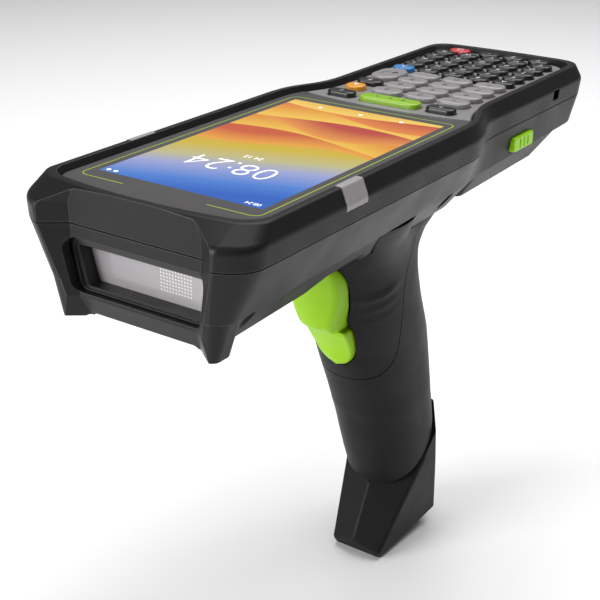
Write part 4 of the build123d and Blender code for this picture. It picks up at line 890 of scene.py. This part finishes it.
def circle(x, y, radius, sides=DOT_SIDES):
    """Points of a circle in plan."""
    turns = [2 * math.pi * i / sides for i in range(sides)]
    return [(x + radius * math.cos(turn), y + radius * math.sin(turn)) for turn in turns]


def dots(name, places, z, radius, finish, body):
    """Flat round dots as one piece."""
    verts, faces = [], []
    for x, y in places:
        faces.append(tuple(range(len(verts), len(verts) + DOT_SIDES)))
        verts += [(px, py, z) for px, py in circle(x, y, radius)]
    return piece(name, verts, faces, finish, body, smooth=False)


def screen_marks():
    """Plain digits and dots that the lit screen shows."""
    clock, date, small_clock = 9.0, 1.9, 1.5
    figures = [("08:24", 0.0, -21.5, clock, INK_LIFT), ("24 12", 0.0, -12.4, date, INK_LIFT),
               ("08:24", 22.0, -41.6, small_clock, INK_LIFT)]
    lettering("screen_digits", figures, SCREEN_WHITE, "case")
    buttons = [(-14.4, 40.0), (0.0, 40.0), (14.0, 40.0)]
    signals = [(-24.2, -42.0), (-21.8, -42.0)]
    dots("screen_dots", buttons + signals, INK_LIFT, SCREEN_DOT, SCREEN_WHITE, "case")


# ---------------------------------------------------------------- keypad printing
KEY_Z = 1.5                 # top of the caps
PLATE_Z = -0.15
LETTER_PITCH = (9.3, 7.0)
LETTER_Y = 96.3             # middle of the first letter row
LAST_ROW_Y = 130.0
LAST_ROW_X = (15.0, 5.4, -3.9)
NUMBER_PITCH = (11.9, 7.9)
NUMBER_MIDDLE = (5.3, 65.9)     # middle key of the first number row
LETTER_HEIGHT, DIGIT_HEIGHT = 1.9, 2.6
STEM_WIDTH, RING_WIDTH = 0.5, 0.3
PLATE_DOT, PLATE_DOT_SHIFT = 0.38, 1.4


def key_middle(name):
    """Middle of a one-cap key in the head datum."""
    low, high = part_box(name)
    middle = (low + high) / (2 * MM)
    return middle.x, middle.y + SOLE.y


def letter_places():
    """Centres of the dark letter caps, row by row, from the user's left."""
    columns = [(2 - i) * LETTER_PITCH[0] for i in range(5)]
    rows = {1: [(x, LETTER_Y) for x in columns[:4]]}
    for row in range(2, 6):
        rows[row] = [(x, LETTER_Y + LETTER_PITCH[1] * (row - 1)) for x in columns]
    rows[6] = [(x, LAST_ROW_Y) for x in LAST_ROW_X]
    return rows


def key_marks():
    """Plain letters, numbers and signs on the caps."""
    z = KEY_Z + INK_LIFT
    letters = iter("ABCDEFGHIJKLMNOPQRSTUVWXYZ-")
    for row, places in letter_places().items():
        marks = [(next(letters), x, y, LETTER_HEIGHT, z) for x, y in places]
        lettering(f"letters_{row}", marks, WHITE_INK, f"letter_keys_{row}")
    for row in range(4):
        for column in range(3):
            name = f"number_key_{row + 1}{column + 1}"
            digit = "*0."[2 - column] if row == 3 else str(3 * row + 3 - column)
            lettering(f"digit_{row + 1}{column + 1}", [(digit, *key_middle(name), DIGIT_HEIGHT, z)],
                      DARK_INK, name)
    enter_sign(z)
    for name, text in (("function_key", "F"), ("soft_key_left", "<"), ("soft_key_right", ">")):
        lettering(f"{name}_mark", [(text, *key_middle(name), LETTER_HEIGHT, z)],
                  WHITE_INK, name)
    shift_sign(z)
    lettering("alpha_mark", [("A", *key_middle("alpha_key"), LETTER_HEIGHT, z)],
              WHITE_INK, "alpha_key")
    power_sign(z)


def enter_sign(z):
    """Bent arrow on the enter key."""
    x, y = key_middle("enter_key")
    stem = [(x - 2.0, y - 2.2), (x - 2.0, y + 0.6), (x + 1.6, y + 0.6)]
    ribbon("enter_arrow_stem", stem, STEM_WIDTH, z, DARK_INK, "enter_key")
    head = [(x + 1.2, y - 1.0, z), (x + 3.2, y + 0.6, z), (x + 1.2, y + 2.2, z)]
    piece("enter_arrow_head", head, [(0, 1, 2)], DARK_INK, "enter_key", smooth=False)


def shift_sign(z):
    """Arrowhead on the shift key."""
    x, y = key_middle("shift_key")
    arrow = [(x - 1.2, y + 0.8, z), (x + 1.2, y + 0.8, z), (x, y - 1.0, z)]
    piece("shift_arrow", arrow, [(0, 1, 2)], WHITE_INK, "shift_key", smooth=False)


def power_sign(z):
    """Open ring with a bar on the power key."""
    x, y = key_middle("power_key")
    turns = [math.radians(a) for a in range(-60, 241, 20)]
    ring = [(x + math.cos(turn), y + math.sin(turn)) for turn in turns]
    ribbon("power_ring", ring, RING_WIDTH, z, WHITE_INK, "power_key")
    ribbon("power_bar", [(x, y - 1.3), (x, y - 0.2)], RING_WIDTH, z, WHITE_INK, "power_key")


def scan_key_dots():
    """Three raised guide dots on the scan key."""
    pitch, dome_radius, dome_height, levels = 4.6, 0.55, 0.08, 4
    x, y = key_middle("scan_key")
    verts, faces = [], []
    for step in (-1, 0, 1):
        start = len(verts)
        for level in range(levels):
            lean = math.pi / 2 * level / levels
            radius, z = dome_radius * math.cos(lean), KEY_Z + dome_height * math.sin(lean)
            verts += [(px, py, z) for px, py in circle(x + step * pitch, y, radius)]
        for level in range(levels - 1):
            a, b = start + DOT_SIDES * level, start + DOT_SIDES * (level + 1)
            faces += [(a + i, a + (i + 1) % DOT_SIDES, b + (i + 1) % DOT_SIDES, b + i)
                      for i in range(DOT_SIDES)]
        top = start + DOT_SIDES * (levels - 1)
        faces.append(tuple(range(top, top + DOT_SIDES)))
    piece("scan_key_dots", verts, faces, DARK_INK, "scan_key")


def plate_marks():
    """Small coloured second functions printed on the faceplate between the number keys."""
    (pitch_x, pitch_y), (first_x, first_y) = NUMBER_PITCH, NUMBER_MIDDLE
    spots = [(first_x + (column - 0.5) * pitch_x, first_y + pitch_y * row)
             for row in range(4) for column in range(2)]
    for name, side, finish in (("orange", 1, ORANGE_INK), ("blue", -1, BLUE_INK)):
        places = [(x, y + side * PLATE_DOT_SHIFT) for x, y in spots]
        dots(f"plate_dots_{name}", places, PLATE_Z + INK_LIFT, PLATE_DOT, finish, "case")


# ---------------------------------------------------------------- scan window
PANE_Y = -54.0
GRID_COLUMNS, GRID_ROWS = 11, 9
GRID_PITCH = (0.95, 0.9)
GRID_CORNER = (2.8, -15.3)      # x and z of the first dot
GRID_DOT, GRID_SIDES, GRID_LIFT = 0.27, 8, 0.03


def aiming_grid():
    """Square of pale dots on the pane's face."""
    verts, faces = [], []
    y = PANE_Y - GRID_LIFT
    for row in range(GRID_ROWS):
        for column in range(GRID_COLUMNS):
            x, z = GRID_CORNER[0] + column * GRID_PITCH[0], GRID_CORNER[1] - row * GRID_PITCH[1]
            faces.append(tuple(range(len(verts), len(verts) + GRID_SIDES)))
            verts += [(px, y, pz) for px, pz in circle(x, z, GRID_DOT, GRID_SIDES)]
    piece("aiming_grid", verts, faces, WHITE_INK, "case", smooth=False)


# ---------------------------------------------------------------- studio
# Lengths and places here are metres in the frame.
FLOOR_HALF, FLOOR_GAP = 6.0, 0.0005
AIM = (0.0, -0.02, 0.12)
PANELS = (   # name, place, size and watts
    ("top_panel", (0.0, 0.25, 1.1), 1.2, 16.5),
    ("front_panel", (-0.5, -1.1, 0.45), 0.7, 12.5),
)
WORLD_STRENGTH = 0.16
AZIMUTH, ELEVATION, ROLL = (math.radians(a) for a in (35.0863, 23.7823, 0.1733))
CAMERA_AT = (0.191184, -0.325071, 0.251772)
SENSOR = 36.0           # millimetres
FRAME_PIXELS, FOCAL_PIXELS = 600, 1239.16


def soft_panel(name, at, size, watts):
    """Large square soft light that faces the terminal."""
    lamp = bpy.data.lights.new(name, "AREA")
    lamp.shape = "RECTANGLE"
    lamp.size, lamp.size_y = size, size
    lamp.energy = watts
    made = bpy.data.objects.new(name, lamp)
    made.location = at
    made.rotation_euler = (Vector(at) - Vector(AIM)).to_track_quat("Z", "Y").to_euler()
    bpy.context.scene.collection.objects.link(made)


def studio():
    """Pale floor, pale surroundings and two soft lights, above and in front."""
    floor_z = CAD_BOX[0][2] - FLOOR_GAP
    corners = [(sx * FLOOR_HALF, sy * FLOOR_HALF, floor_z)
               for sx, sy in ((-1, -1), (1, -1), (1, 1), (-1, 1))]
    mesh = bpy.data.meshes.new("studio_floor")
    mesh.from_pydata(corners, [], [(0, 1, 2, 3)])
    floor = bpy.data.objects.new("studio_floor", mesh)
    # Matt painted board: an even pale white with hardly any reflection.
    material, _, shader, _ = finish_start("matt_white_floor")
    shader.inputs["Base Color"].default_value = tone("#f6f6f6")
    shader.inputs["Roughness"].default_value = 0.9
    shader.inputs["Specular IOR Level"].default_value = 0.1
    mesh.materials.append(material)
    bpy.context.scene.collection.objects.link(floor)
    world = bpy.data.worlds.new("pale_studio")
    world.use_nodes = True
    backdrop = world.node_tree.nodes["Background"]
    backdrop.inputs["Color"].default_value = (1.0, 1.0, 1.0, 1.0)
    backdrop.inputs["Strength"].default_value = WORLD_STRENGTH
    bpy.context.scene.world = world
    for panel in PANELS:
        soft_panel(*panel)


def camera():
    """Camera at the height and side from which the terminal is shown."""
    back = Vector((math.sin(AZIMUTH) * math.cos(ELEVATION), -math.cos(AZIMUTH) * math.cos(ELEVATION),
                   math.sin(ELEVATION)))
    right = Vector((math.cos(AZIMUTH), math.sin(AZIMUTH), 0.0))
    up = back.cross(right)
    right, up = (math.cos(ROLL) * right + math.sin(ROLL) * up,
                 -math.sin(ROLL) * right + math.cos(ROLL) * up)
    lens = bpy.data.cameras.new("studio_camera")
    lens.sensor_width = SENSOR
    lens.lens = SENSOR * FOCAL_PIXELS / FRAME_PIXELS
    lens.clip_start = 0.01
    made = bpy.data.objects.new("studio_camera", lens)
    turn = Matrix((right, up, back)).transposed().to_4x4()
    made.matrix_world = Matrix.Translation(CAMERA_AT) @ turn
    bpy.context.scene.collection.objects.link(made)
    bpy.context.scene.camera = made


dress_nodes()
grip()
trigger()
pinstripe()
screen_marks()
key_marks()
scan_key_dots()
plate_marks()
aiming_grid()
studio()
camera()
bpy.context.scene.view_settings.view_transform = "Standard"
